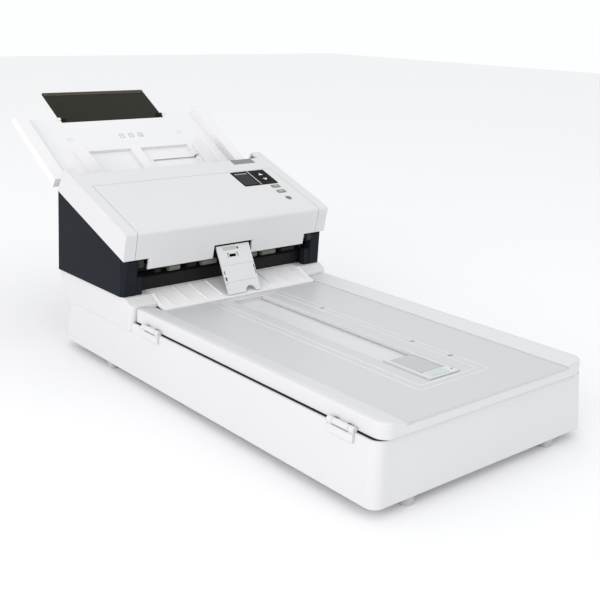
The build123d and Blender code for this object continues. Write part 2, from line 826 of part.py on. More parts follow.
def side_panel(side_sign):
    """One side of the feeder: a thick dark panel with bush seats and a front pillar."""
    outer = side_sign * feeder_half_width
    inner = side_sign * inner_half
    pillar = side_sign * pillar_half
    foot_y = base_front + feeder_front_depth + feeder_foot_setback
    with BuildPart() as panel:
        prism(
            (min(inner, outer), max(inner, outer)),
            [
                (foot_y, neck_top),
                (panel_rear, neck_top),
                (panel_rear, skirt_height(panel_rear) - seam),
                (relief_y, skirt_height(relief_y) - seam),
                (skirt_front_y + 1, skirt_height(skirt_front_y + 1) - seam - hinge_relief),
            ],
        )
        prism(
            (min(pillar, inner), max(pillar, inner)),
            [
                (foot_y, neck_top),
                (foot_y + 11, neck_top),
                (foot_y + 11, skirt_height(skirt_front_y) - seam),
                (relief_y, skirt_height(skirt_front_y) - seam),
                (skirt_front_y + 1, skirt_height(skirt_front_y) - seam - hinge_relief),
            ],
        )
        toe = side_sign * pillar_toe_half
        block(
            (min(toe, pillar), max(toe, pillar)),
            (foot_y, foot_y + 10),
            (neck_top, pillar_toe_top),
        )
        # broad bevel down the outer front corner
        with BuildSketch(Plane.XY.offset(neck_top - 1)) as bevel:
            with BuildLine():
                Polyline(
                    (outer + side_sign, skirt_front_y - 9),
                    (outer + side_sign, foot_y + 6),
                    (outer - side_sign * 13, skirt_front_y - 9),
                    close=True,
                )
            make_face()
        extrude(bevel.sketch, amount=80, mode=Mode.SUBTRACT)
        # bush seats, and the hole for the cover's hinge pin
        for station, radius in driven.values():
            shaft(
                (min(inner, inner + side_sign * bush_depth), max(inner, inner + side_sign * bush_depth)),
                (station, -radius),
                bush_radius + running,
                Mode.SUBTRACT,
                path,
            )
        shaft(
            (min(pillar, side_sign * pin_bore_end), max(pillar, side_sign * pin_bore_end)),
            (hinge_y, hinge_height),
            hinge_pin_radius + running,
            Mode.SUBTRACT,
        )
    return panel


left_panel = side_panel(-1)
left_panel.part.label = "side_panel_left"
export_step(left_panel.part, "parts/side_panel_left.step")

right_panel = side_panel(1)
right_panel.part.label = "side_panel_right"
export_step(right_panel.part, "parts/side_panel_right.step")

tray_axis_y, tray_axis_z = on_path(*tray_axis)
tray_lug_x = 135.0
tray_lug_radius = 4.5
tray_pin_radius = 2.0
rear_panel_top = throat_height - 15.0
rear_panel_y = (panel_rear - 6.0, panel_rear - 3.0)
with BuildPart() as rear_panel:
    block((-inner_half, inner_half), rear_panel_y, (neck_top, rear_panel_top))
    # lugs that hold the input tray
    for side_sign in (-1, 1):
        x = side_sign * tray_lug_x
        shaft((x - 3, x + 3), (tray_axis_y, tray_axis_z), tray_lug_radius)
        prism(
            (x - 3, x + 3),
            [
                (rear_panel_y[0] + 1, rear_panel_top - 18),
                (tray_axis_y + 3.8, tray_axis_z - 2),
                (tray_axis_y - 2, tray_axis_z + 4),
                (rear_panel_y[0] + 1, rear_panel_top),
            ],
        )
    shaft(
        (-tray_lug_x - 4, tray_lug_x + 4),
        (tray_axis_y, tray_axis_z),
        tray_pin_radius + running,
        Mode.SUBTRACT,
    )
rear_panel.part.label = "rear_panel"
export_step(rear_panel.part, "parts/rear_panel.step")

with BuildPart() as cover_hinge_pins:
    for x in ((-pin_end, -lip_half_width - 5), (lip_half_width + 5, pin_end)):
        shaft(x, (hinge_y, hinge_height), hinge_pin_radius)
cover_hinge_pins.part.label = "cover_hinge_pins"
export_step(cover_hinge_pins.part, "parts/cover_hinge_pins.step")

# ---------------------------------------------------------------- feeder: lower paper path
guide_drop = 0.5
guide_skin = 2.5
path_exit = -172.0
path_entry = -8.0
feed_tyres = [(-32, -12), (12, 32)]
transport_tyres = [(-106, -88), (-48, -30), (30, 48), (88, 106)]
exit_tyres = [(-98, -82), (-53, -35), (35, 53), (82, 98)]
scan_half = 112.0
lower_scan = (-119.0, -101.0)
upper_scan = (-138.0, -118.0)
tyre_spots = {"feed_roller": feed_tyres, "transport_roller": transport_tyres, "exit_roller": exit_tyres}
with BuildPart() as lower_paper_guide:
    strip(
        (-path_half_width, path_half_width),
        (path_exit, path_entry),
        (-guide_drop - guide_skin, -guide_drop),
    )
    # tabs to the side panels at the entry
    for x in ((-inner_half, -path_half_width + 1), (path_half_width - 1, inner_half)):
        strip(x, (path_entry - 12, path_entry), (-guide_drop - guide_skin, -guide_drop))
    # fascia under the exit slot
    prism(
        (-inner_half, inner_half),
        [
            (fascia_y, neck_top),
            (fascia_y, on_path(path_exit, -guide_drop)[1] - 1.5),
            on_path(path_exit, -guide_drop),
            on_path(path_exit + 1, -guide_drop - guide_skin),
            (fascia_y + 2.4, neck_top),
        ],
    )
    # windows for the tyres and the scan bar
    for name, (station, radius) in driven.items():
        reach = (radius**2 - (radius - guide_skin - guide_drop) ** 2) ** 0.5 + 1.0
        for low, high in tyre_spots[name]:
            strip((low - 1, high + 1), (station - reach, station + reach), (-4, 1), Mode.SUBTRACT)
    strip((-scan_half - 1, scan_half + 1), (lower_scan[0] + 3, lower_scan[1] - 3), (-4, 1), Mode.SUBTRACT)
lower_paper_guide.part.label = "lower_paper_guide"
export_step(lower_paper_guide.part, "parts/lower_paper_guide.step")

with BuildPart() as lower_scan_module:
    strip((-scan_half - 6, scan_half + 6), lower_scan, (-20, -guide_drop - guide_skin - 0.2))
    strip((-scan_half, scan_half), (lower_scan[0] + 4, lower_scan[1] - 4), (-4, -guide_drop - 0.1))
lower_scan_module.part.label = "lower_scan_module"
export_step(lower_scan_module.part, "parts/lower_scan_module.step")

with BuildPart() as roller_bushes:
    for station, radius in driven.values():
        for x in ((-inner_half - bush_depth, -inner_half), (inner_half, inner_half + bush_depth)):
            shaft(x, (station, -radius), bush_radius, plane=path)
            shaft(x, (station, -radius), shaft_radius + running, Mode.SUBTRACT, path)
roller_bushes.part.label = "roller_bushes"
export_step(roller_bushes.part, "parts/roller_bushes.step")

# three belts side by side at the right-hand end of the shafts
drive_radius = 7.0
drive_belt_thickness = 1.0
drive_belt_width = 2.0
belt_lanes = (151.0, 154.6, 158.2)
motor_at = (-66.0, -52.0)
motor_radius = 20.0
shaft_half = inner_half + bush_depth - 0.4


def drive_wheel(lane, centre):
    """A toothless belt wheel with its width just over the belt's."""
    shaft((lane - 0.3, lane + drive_belt_width + 0.3), centre, drive_radius, plane=path)


with BuildPart() as feed_shaft:
    centre = (feed_station, -feed_radius)
    shaft((-shaft_half, shaft_half), centre, shaft_radius, plane=path)
    drive_wheel(belt_lanes[1], centre)
feed_shaft.part.label = "feed_shaft"
export_step(feed_shaft.part, "parts/feed_shaft.step")

with BuildPart() as feed_tyre_pair:
    centre = (feed_station, -feed_radius)
    for low, high in feed_tyres:
        shaft((low, high), centre, feed_radius - 0.1, plane=path)
        shaft((low, high), centre, shaft_radius, Mode.SUBTRACT, path)
feed_tyre_pair.part.label = "feed_tyres"
export_step(feed_tyre_pair.part, "parts/feed_tyres.step")

with BuildPart() as transport_roller:
    centre = (transport_station, -transport_radius)
    shaft((-shaft_half, shaft_half), centre, shaft_radius, plane=path)
    for lane in belt_lanes:
        drive_wheel(lane, centre)
    for low, high in transport_tyres:
        shaft((low, high), centre, transport_radius - 0.1, plane=path)
transport_roller.part.label = "transport_roller"
export_step(transport_roller.part, "parts/transport_roller.step")

with BuildPart() as exit_roller:
    centre = (exit_station, -exit_radius)
    shaft((-shaft_half, shaft_half), centre, shaft_radius, plane=path)
    drive_wheel(belt_lanes[2], centre)
    for low, high in exit_tyres:
        shaft((low, high), centre, exit_radius - 0.1, plane=path)
exit_roller.part.label = "exit_roller"
export_step(exit_roller.part, "parts/exit_roller.step")

with BuildPart() as motor_wheel:
    shaft((118, belt_lanes[0] + drive_belt_width + 1), motor_at, 2.5, plane=path)
    drive_wheel(belt_lanes[0], motor_at)
motor_wheel.part.label = "motor_wheel"
export_step(motor_wheel.part, "parts/motor_wheel.step")

motor_y, motor_z = on_path(*motor_at)
with BuildPart() as feeder_motor:
    shaft((104, 140), motor_at, motor_radius, plane=path)
    fillet(feeder_motor.edges().filter_by(GeomType.CIRCLE), 1.5)
    # mounting plate standing on the neck
    block((140, 142), (motor_y - 22, motor_y + 22), (neck_top, motor_z + 22))
    block((122, 142), (motor_y - 22, motor_y + 22), (neck_top, neck_top + 2))
    shaft((117, 143), motor_at, 2.5 + running, Mode.SUBTRACT, path)
feeder_motor.part.label = "feeder_motor"
export_step(feeder_motor.part, "parts/feeder_motor.step")


def drive_belt(lane, start, end):
    """A closed belt round two equal wheels."""
    run = hypot(end[0] - start[0], end[1] - start[1])
    turn = Vector(end[0] - start[0], end[1] - start[1]).get_signed_angle(Vector(1, 0), Vector(0, 0, -1))
    middle = ((start[0] + end[0]) / 2, (start[1] + end[1]) / 2)
    with BuildSketch(path.offset(lane)) as loop:
        with Locations(Location((middle[0], middle[1], 0), (0, 0, turn))):
            SlotCenterToCenter(run, 2 * (drive_radius + gap + drive_belt_thickness))
            SlotCenterToCenter(run, 2 * (drive_radius + gap), mode=Mode.SUBTRACT)
    extrude(loop.sketch, amount=drive_belt_width)


transport_centre = (transport_station, -transport_radius)
with BuildPart() as drive_belts:
    drive_belt(belt_lanes[0], motor_at, transport_centre)
    drive_belt(belt_lanes[1], transport_centre, (feed_station, -feed_radius))
    drive_belt(belt_lanes[2], (exit_station, -exit_radius), transport_centre)
drive_belts.part.label = "drive_belts"
export_step(drive_belts.part, "parts/drive_belts.step")

# ---------------------------------------------------------------- exit beam, idlers and flap
idler_radius = 5.0
idler_pin = 1.6
beam_along = (-166.0, -148.0)
beam_above = (3.0, 16.0)
idler_above = idler_radius + gap
flap_centre = 4.0
flap_half = 28.0
flap_offset = 7.5         # the plate stands in front of its pivot
flap_thickness = 2.0
flap_length = 63.0
flap_angle = 62.8         # degrees under the horizontal, towards the front
flap_pin_radius = 1.5
flap_ear = (15.0, 22.0)
hinge_along = (hinge_y - throat_y) * cos(slope) + (hinge_height - throat_height) * sin(slope)
hinge_above = -(hinge_y - throat_y) * sin(slope) + (hinge_height - throat_height) * cos(slope)
with BuildPart() as exit_beam:
    strip((-inner_half, inner_half), beam_along, beam_above)
    # pockets for the idlers
    for low, high in exit_tyres:
        strip((low - 1.5, high + 1.5), (exit_station - 6.5, exit_station + 6.5), (2, 11.5), Mode.SUBTRACT)
    # arm that carries the flap's pin
    prism(
        (flap_centre - 13, flap_centre + 13),
        [
            (hinge_along - 3.6, hinge_above - 2.2),
            (hinge_along + 3.0, hinge_above + 3.0),
            (beam_along[0] + 7, beam_above[1] - 1),
            (beam_along[0] + 1, beam_above[0] + 6),
        ],
        plane=path,
    )
    shaft((flap_centre - 13, flap_centre + 13), (hinge_along, hinge_above), 4.2, plane=path)
    shaft(
        (flap_centre - 14, flap_centre + 14),
        (hinge_along, hinge_above),
        flap_pin_radius + running,
        Mode.SUBTRACT,
        path,
    )
    shaft(
        (exit_tyres[0][0] - 5, exit_tyres[-1][1] + 5),
        (exit_station, idler_above),
        idler_pin + running,
        Mode.SUBTRACT,
        path,
    )
exit_beam.part.label = "exit_beam"
export_step(exit_beam.part, "parts/exit_beam.step")

with BuildPart() as exit_idlers:
    centre = (exit_station, idler_above)
    shaft((exit_tyres[0][0] - 4, exit_tyres[-1][1] + 4), centre, idler_pin, plane=path)
    for low, high in exit_tyres:
        shaft((low, high), centre, idler_radius, plane=path)
exit_idlers.part.label = "exit_idlers"
export_step(exit_idlers.part, "parts/exit_idlers.step")

lean = radians(flap_angle)
flap_plane = Plane(
    origin=(0, hinge_y, hinge_height), x_dir=(0, -cos(lean), -sin(lean)), z_dir=(1, 0, 0)
)
with BuildPart() as exit_flap:
    prism(
        (flap_centre - flap_half, flap_centre + flap_half),
        [
            (-4, -flap_offset),
            (flap_length, -flap_offset),
            (flap_length, flap_thickness - flap_offset),
            (-4, flap_thickness - flap_offset),
        ],
        plane=flap_plane,
    )
    for side_sign in (-1, 1):
        near = flap_centre + side_sign * flap_ear[0]
        far = flap_centre + side_sign * flap_ear[1]
        x = (min(near, far), max(near, far))
        shaft(x, (0, 0), 3.6, plane=flap_plane)
        prism(x, [(-3.5, 0), (3.5, 0), (6, 1 - flap_offset), (-3.5, 1 - flap_offset)], plane=flap_plane)
    shaft((flap_centre - 16, flap_centre + 16), (0, 0), flap_pin_radius, plane=flap_plane)
    # half-round finger cut-out at the tip, and the catch window near the top
    with BuildSketch(Plane(origin=flap_plane.origin, x_dir=(1, 0, 0), z_dir=flap_plane.y_dir)) as cuts:
        with Locations((flap_centre + 11, flap_length + 1)):
            Circle(9)
        with Locations((flap_centre - 4, 10.5)):
            Rectangle(12, 4)
    extrude(cuts.sketch, amount=-12, mode=Mode.SUBTRACT)
exit_flap.part.label = "exit_flap"
export_step(exit_flap.part, "parts/exit_flap.step")

# ---------------------------------------------------------------- cover
ear_y = base_front + ear_depth
spine_y = base_front + spine_depth
insert_rear = base_front + insert_rear_depth
cap_inner = cover_half_width - cap_width
rail_y = (hinge_y - 1.5, hinge_y + 9)
rail_z = (hinge_height + 12, hinge_height + 19)
lug_x = (lip_half_width + 7, lip_half_width + 15)
lug_radius = 6.5
cover_outline = [
    (skirt_front_y, cover_skirt_front),
    (panel_rear, skirt_height(panel_rear)),
    (ear_y, cover_height(ear_y)),
    (face_top_y, cover_front_height),
]
nose_radius = 5.0
mouth_along = -18.0
mouth_above = 13.5
spine_foot_y, spine_foot_z = on_path(mouth_along, mouth_above + 2)
lever_x = (101.0, 141.0)
lever_along = 12.0        # length of the lever over the back edge of the cover
lever_pin_radius = 1.5
lever_thickness = 2.4
lever_ear = 2.8
lever_axis_y = spine_y - lever_along + 2.0
lever_axis_z = cover_height(lever_axis_y) - 7.0


def nose(part):
    """Round the cover's top front edge."""
    edges = [
        edge
        for edge in part.edges().filter_by(Axis.X)
        if abs(edge.center().Y - face_top_y) < 0.01 and abs(edge.center().Z - cover_front_height) < 0.01
    ]
    fillet(edges, nose_radius)


with BuildPart() as cover_frame:
    # side caps, solid to the outside and open to the inside
    for side_sign in (-1, 1):
        outer = side_sign * cover_half_width
        inner = side_sign * cap_inner
        prism((min(inner, outer), max(inner, outer)), cover_outline)
    nose(cover_frame)
    for side_sign in (-1, 1):
        outer = side_sign * (cover_half_width - cover_wall)
        inner = side_sign * cap_inner
        with BuildSketch(Plane.YZ.offset(min(inner, outer))) as hollow:
            with BuildLine():
                Polyline(*cover_outline, close=True)
            make_face()
            offset(amount=-cover_wall, kind=Kind.INTERSECTION, mode=Mode.REPLACE)
        extrude(hollow.sketch, amount=abs(outer - inner), mode=Mode.SUBTRACT)
    # spine across the back: top strip and the wall over the sheet mouth
    prism(
        (-cap_inner - 1, cap_inner + 1),
        [
            (insert_rear, cover_height(insert_rear)),
            (insert_rear, cover_height(insert_rear) - cover_wall),
            (spine_y - cover_wall, cover_height(spine_y - cover_wall) - cover_wall),
            (spine_foot_y - cover_wall, spine_foot_z),
            (spine_foot_y, spine_foot_z),
            (spine_y, cover_height(spine_y)),
        ],
    )
    # cut-out for the release lever, and the two ears that carry its pin
    prism(
        (lever_x[0] - gap, lever_x[1] + gap),
        [
            (spine_y - lever_along - gap, cover_height(spine_y - lever_along) - cover_wall - 2),
            (spine_y + 4, cover_height(spine_y) - cover_wall - 6),
            (spine_y + 4, cover_height(spine_y) + 4),
            (spine_y - lever_along - gap, cover_height(spine_y) + 4),
        ],
        Mode.SUBTRACT,
    )
    for x in ((lever_x[0] - lever_ear, lever_x[0] - gap), (lever_x[1] + gap, lever_x[1] + lever_ear)):
        prism(
            x,
            [
                (lever_axis_y - 4, cover_height(lever_axis_y - 4) - 1),
                (lever_axis_y - 4, lever_axis_z - 3),
                (lever_axis_y + 4, lever_axis_z - 3),
                (lever_axis_y + 4, cover_height(lever_axis_y + 4) - 1),
            ],
        )
    shaft(
        (lever_x[0] - 4, lever_x[1] + 4),
        (lever_axis_y, lever_axis_z),
        lever_pin_radius + running,
        Mode.SUBTRACT,
    )
    # front rail and the lugs that ride on the hinge pins
    prism(
        (-cap_inner - 1, cap_inner + 1),
        [
            (rail_y[0], rail_z[0]),
            (rail_y[1], rail_z[0]),
            (rail_y[1], rail_z[1]),
            (rail_y[0], rail_z[1]),
        ],
    )
    for x in (lug_x, (-lug_x[1], -lug_x[0])):
        shaft(x, (hinge_y, hinge_height), lug_radius)
        prism(
            x,
            [
                (hinge_y - 5, hinge_height + 4),
                (hinge_y + 6.4, hinge_height),
                (rail_y[1], rail_z[0] + 1),
                (rail_y[0], rail_z[0] + 1),
            ],
        )
        shaft(
            (x[0] - 1, x[1] + 1),
            (hinge_y, hinge_height),
            hinge_pin_radius + running,
            Mode.SUBTRACT,
        )
cover_frame.part.label = "cover_frame"
export_step(cover_frame.part, "parts/cover_frame.step")

# controls, placed on the cover's top plane by station up the slope from the front edge
cover_top = Plane(
    origin=(0, face_top_y, cover_front_height),
    x_dir=(1, 0, 0),
    z_dir=(0, -sin(radians(cover_angle)), cos(radians(cover_angle))),
)
bezel_centre = (107.0, 96.6)
bezel_size = (63.0, 40.0)
bezel_depth = 2.2
screen_centre = (91.4, 96.6)
screen_size = (25.5, 33.0)
nav_size = (13.0, 9.0)
nav_centres = {"up_key": (124.0, 104.5), "down_key": (124.0, 90.0)}
button_centres = {"scan_button": (127.0, 69.0), "mode_button": (126.5, 54.6)}
button_size = (15.5, 8.0)
power_centre = (125.5, 36.0)
power_radius = 4.6
key_travel = 0.6
key_seat = 0.1            # left under a key when it is fully down
key_height = 0.5          # a key's face over the cover


def on_top(size, centre, above, mode=Mode.ADD, corner=1.0):
    """A flat-lying rounded block on the cover's top plane, from above[0] to above[1]."""
    with BuildSketch(cover_top.offset(above[0])) as outline:
        with Locations(centre):
            RectangleRounded(size[0], size[1], corner)
    extrude(outline.sketch, amount=above[1] - above[0], mode=mode)


def grown(size):
    """A size with the moving gap added all round."""
    return (size[0] + 2 * gap, size[1] + 2 * gap)


notch_half = flap_half + 5.0
notch_top = hinge_height + 10.0
insert_half = cap_inner - seam
inner_top_y = face_top_y + cover_wall * (1 + cover_lean)
inner_top_z = cover_height(inner_top_y) - cover_wall / cos(radians(cover_angle))
with BuildPart() as cover_insert:
    prism(
        (-insert_half, insert_half),
        [
            (skirt_front_y, cover_skirt_front),
            (insert_rear - seam, cover_skirt_front),
            (insert_rear - seam, cover_height(insert_rear - seam)),
            (face_top_y, cover_front_height),
        ],
    )
    nose(cover_insert)
    prism(
        (-insert_half - 1, insert_half + 1),
        [
            (skirt_front_y + cover_wall, cover_skirt_front - 1),
            (insert_rear + 1, cover_skirt_front - 1),
            (insert_rear + 1, cover_height(insert_rear + 1) - cover_wall / cos(radians(cover_angle))),
            (inner_top_y, inner_top_z),
        ],
        Mode.SUBTRACT,
    )
    # lip that shades the exit, with a notch for the flap
    prism(
        (-lip_half_width, lip_half_width),
        [
            (face_station(cover_skirt_front), cover_skirt_front),
            (face_station(lip_bottom), lip_bottom),
            (face_station(lip_bottom) + 2.4, lip_bottom),
            (face_station(cover_skirt_front) + cover_wall, cover_skirt_front),
        ],
    )
    block(
        (flap_centre - notch_half, flap_centre + notch_half),
        (face_top_y, hinge_y + 2),
        (lip_bottom - 1, notch_top),
        Mode.SUBTRACT,
    )
    # shallow seats for the screen bezel and the buttons
    on_top(grown(bezel_size), bezel_centre, (-bezel_depth, 2), Mode.SUBTRACT, 2.5)
    for centre in button_centres.values():
        on_top(grown(button_size), centre, (-bezel_depth, 2), Mode.SUBTRACT, 2.0)
    with BuildSketch(cover_top.offset(-bezel_depth)) as seat:
        with Locations(power_centre):
            Circle(power_radius + gap)
    extrude(seat.sketch, amount=bezel_depth + 2, mode=Mode.SUBTRACT)
cover_insert.part.label = "cover_insert"
export_step(cover_insert.part, "parts/cover_insert.step")

with BuildPart() as control_bezel:
    on_top(bezel_size, bezel_centre, (-bezel_depth, 0.3), corner=2.2)
    on_top(grown(screen_size), screen_centre, (-bezel_depth - 1, 1), Mode.SUBTRACT)
    for centre in nav_centres.values():
        on_top(grown(nav_size), centre, (-bezel_depth - 1, 1), Mode.SUBTRACT, 2.0)
control_bezel.part.label = "control_bezel"
export_step(control_bezel.part, "parts/control_bezel.step")

with BuildPart() as display:
    on_top(screen_size, screen_centre, (-bezel_depth, 0))
display.part.label = "display"
export_step(display.part, "parts/display.step")

key_bottom = -bezel_depth + key_travel + key_seat
for name, size, centre in [
    ("up_key", nav_size, nav_centres["up_key"]),
    ("down_key", nav_size, nav_centres["down_key"]),
    ("scan_button", button_size, button_centres["scan_button"]),
    ("mode_button", button_size, button_centres["mode_button"]),
]:
    with BuildPart() as key:
        on_top(size, centre, (key_bottom, key_height), corner=1.8)
        fillet(key.faces().sort_by(Axis(cover_top.origin, cover_top.z_dir))[-1].edges(), 0.3)
    key.part.label = name
    export_step(key.part, f"parts/{name}.step")

with BuildPart() as power_button:
    with BuildSketch(cover_top.offset(key_bottom)):
        with Locations(power_centre):
            Circle(power_radius)
    extrude(amount=key_height - key_bottom)
    fillet(power_button.faces().sort_by(Axis(cover_top.origin, cover_top.z_dir))[-1].edges(), 0.4)
power_button.part.label = "power_button"
export_step(power_button.part, "parts/power_button.step")

# ---------------------------------------------------------------- release lever
with BuildPart() as release_lever:
    # finger plate flush with the cover, turned down over its back edge
    prism(
        lever_x,
        [
            (spine_y - lever_along, cover_height(spine_y - lever_along)),
            (spine_y - lever_along, cover_height(spine_y - lever_along) - lever_thickness),
            (spine_y - lever_thickness, cover_height(spine_y - lever_thickness) - lever_thickness),
            (spine_y - lever_thickness + 1.5, cover_height(spine_y) - 7),
            (spine_y + 1.5, cover_height(spine_y) - 7),
            (spine_y, cover_height(spine_y)),
        ],
    )
    for x in ((lever_x[0], lever_x[0] + 4), (lever_x[1] - 4, lever_x[1])):
        shaft(x, (lever_axis_y, lever_axis_z), 2.8)
        prism(
            x,
            [
                (lever_axis_y - 2.8, lever_axis_z),
                (lever_axis_y + 2.8, lever_axis_z),
                (lever_axis_y + 2.8, cover_height(lever_axis_y) - 1.5),
                (lever_axis_y - 2.0, cover_height(lever_axis_y) - 2.5),
            ],
        )
    ends = (lever_x[0] - lever_ear + gap, lever_x[1] + lever_ear - gap)
    shaft(ends, (lever_axis_y, lever_axis_z), lever_pin_radius)
release_lever.part.label = "release_lever"
export_step(release_lever.part, "parts/release_lever.step")

# ---------------------------------------------------------------- cover: upper paper path
upper_gap = 1.5           # from the sheet to the upper guide
upper_skin = 2.5
upper_along = (-145.0, -45.0)
separation_above = 9.0 + gap
separation_radius = 9.0
pinch_above = 6.0 + gap
pinch_radius = 6.0
idler_shaft_radius = 2.0
separation_tyre = (-14, 14)
pinch_tyres = [(-47, -31), (31, 47)]
separation_lugs = [(-24, -20), (20, 24)]
pinch_lugs = [(-56, -52), (52, 56)]
with BuildPart() as upper_paper_guide:
    prism(
        (-path_half_width + 1, path_half_width - 1),
        [
            (upper_along[0], upper_gap),
            (upper_along[1], upper_gap),
            (mouth_along, mouth_above),
            (mouth_along - 0.8, mouth_above + upper_skin),
            (upper_along[1] - 0.5, upper_gap + upper_skin),
            (upper_along[0], upper_gap + upper_skin),
        ],
        plane=path,
    )
    # webs up to the cover
    roof = cover_wall / cos(radians(cover_angle)) + 0.2
    for x in ((-path_half_width + 1, -path_half_width + 4), (path_half_width - 4, path_half_width - 1)):
        prism(
            x,
            [
                on_path(upper_along[0] + 2, upper_gap + upper_skin - 0.5),
                on_path(upper_along[1], upper_gap + upper_skin - 0.5),
                on_path(mouth_along - 6, mouth_above - 2),
                (spine_y - 10, cover_height(spine_y - 10) - roof),
                (rail_y[0] + 4, cover_height(rail_y[0] + 4) - roof),
                (rail_y[0] + 4, rail_z[1] + 0.2),
                (rail_y[1] + 1, rail_z[1] + 0.2),
                (hinge_y + 31, hinge_height + 10),
            ],
        )
    # windows for the rollers and the scan bar
    strip((-16, 16), (feed_station - 11, feed_station + 11), (-1, 20), Mode.SUBTRACT)
    for low, high in pinch_tyres:
        strip((low - 1, high + 1), (transport_station - 7.5, transport_station + 7.5), (0, 10), Mode.SUBTRACT)
    strip((-scan_half - 1, scan_half + 1), (upper_scan[0] + 3, upper_scan[1] - 3), (0, 10), Mode.SUBTRACT)
    # room for the separation roller's shaft, then lugs for the two idler shafts
    shaft(
        (separation_lugs[0][0] - 3, separation_lugs[1][1] + 3),
        (feed_station, separation_above),
        idler_shaft_radius + 0.6,
        Mode.SUBTRACT,
        path,
    )
    for x in separation_lugs:
        strip(x, (feed_station - 4.5, feed_station + 4.5), (upper_gap + 5, separation_above + 4))
        shaft(
            (x[0] - 1, x[1] + 1),
            (feed_station, separation_above),
            idler_shaft_radius + running,
            Mode.SUBTRACT,
            path,
        )
    for x in pinch_lugs:
        strip(x, (transport_station - 4.5, transport_station + 4.5), (upper_gap + 1, pinch_above + 4))
        shaft(
            (x[0] - 1, x[1] + 1),
            (transport_station, pinch_above),
            idler_shaft_radius + running,
            Mode.SUBTRACT,
            path,
        )
upper_paper_guide.part.label = "upper_paper_guide"
export_step(upper_paper_guide.part, "parts/upper_paper_guide.step")

with BuildPart() as upper_scan_module:
    strip((-scan_half - 6, scan_half + 6), upper_scan, (upper_gap + upper_skin + 0.2, 20))
    strip(
        (-scan_half, scan_half),
        (upper_scan[0] + 4, upper_scan[1] - 4),
        (upper_gap + 0.1, upper_gap + upper_skin + 1),
    )
upper_scan_module.part.label = "upper_scan_module"
export_step(upper_scan_module.part, "parts/upper_scan_module.step")

with BuildPart() as separation_roller:
    centre = (feed_station, separation_above)
    shaft((separation_lugs[0][0] - 2, separation_lugs[1][1] + 2), centre, idler_shaft_radius, plane=path)
    shaft(separation_tyre, centre, separation_radius, plane=path)
separation_roller.part.label = "separation_roller"
export_step(separation_roller.part, "parts/separation_roller.step")

with BuildPart() as pinch_roller:
    centre = (transport_station, pinch_above)
    shaft((pinch_lugs[0][0] - 2, pinch_lugs[1][1] + 2), centre, idler_shaft_radius, plane=path)
    for x in pinch_tyres:
        shaft(x, centre, pinch_radius, plane=path)
pinch_roller.part.label = "pinch_roller"
export_step(pinch_roller.part, "parts/pinch_roller.step")

# ---------------------------------------------------------------- input tray
tray_foot = -3.5          # where the tray starts along the path
wall_foot = 17.0          # where its side walls start
pan_half = tray_half_width - tray_wall_width
well = (5.0, 82.0)        # sunk area between the paper guides
well_half = 97.0
well_depth = 4.5
well_floor = 1.5
rib_half = 9.0            # centre rib between the two wells
track_left = (27.0, 31.6)
track_right = (52.4, 57.0)
track_far = guide_half_gap + 9.0
track_near = 20.0
under_depth = 12.5
foot_width = 4.0
guide_skin_thickness = 2.5
guide_flange = 42.0
notch_along = extension_hinge - extension_tail - 0.8
ear_radius = 3.0
extension_pin = 1.5
knuckle_width = 9.0
with BuildPart() as input_tray:
    strip((-pan_half - 1, pan_half + 1), (tray_foot, tray_length), (-tray_skin, 0))
    # well with a lower floor, split by the centre rib
    for x in ((-well_half, -rib_half), (rib_half, well_half)):
        strip(x, well, (-tray_skin - 1, 1), Mode.SUBTRACT)
    strip(
        (-well_half - 2, well_half + 2),
        (well[0] - 2, well[1] + 2),
        (-well_depth - well_floor, -well_depth),
    )
    for along in ((well[0] - 2, well[0]), (well[1], well[1] + 2)):
        strip((-well_half - 2, well_half + 2), along, (-well_depth - 0.5, -tray_skin + 0.5))
    for x in ((-well_half - 2, -well_half), (well_half, well_half + 2), (-rib_half, rib_half)):
        strip(x, (well[0] - 1, well[1] + 1), (-well_depth - 0.5, -tray_skin + 0.5))
    # tracks for the guides' feet
    strip((-track_far, -track_near), track_left, (-well_depth - well_floor - 1, 1), Mode.SUBTRACT)
    strip((track_near, track_far), track_right, (-well_depth - well_floor - 1, 1), Mode.SUBTRACT)
    # side walls
    for side_sign in (-1, 1):
        x = sorted((side_sign * pan_half, side_sign * tray_half_width))
        strip(x, (wall_foot, tray_length), (-tray_skin, tray_wall_height))
    # notch and ears for the extension
    notch_half_width = extension_half_width + 0.8
    strip((-notch_half_width, notch_half_width), (notch_along, tray_length + 1), (-4, 1), Mode.SUBTRACT)
    for side_sign in (-1, 1):
        near = side_sign * notch_half_width
        x = sorted((near, near + side_sign * 5))
        shaft(x, (extension_hinge, 0), ear_radius, plane=path)
        x = sorted((near - side_sign * 7, near + side_sign))
        shaft(x, (extension_hinge, 0), extension_pin, plane=path)
    # knuckles and pins that hang the tray on the back of the feeder
    for side_sign in (-1, 1):
        x = sorted((side_sign * (tray_lug_x + 3.3), side_sign * (tray_lug_x + 9)))
        shaft(x, tray_axis, 4.0, plane=path)
        prism(
            x,
            [
                (tray_axis[0] - 3.6, tray_axis[1] + 1),
                (tray_axis[0] + 3.6, tray_axis[1] + 1),
                (tray_axis[0] + 6, -tray_skin + 0.5),
                (tray_axis[0] - 5, -tray_skin + 0.5),
            ],
            plane=path,
        )
        x = sorted((side_sign * (tray_lug_x - 4), side_sign * (tray_lug_x + 4)))
        shaft(x, tray_axis, tray_pin_radius, plane=path)
input_tray.part.label = "input_tray"
export_step(input_tray.part, "parts/input_tray.step")

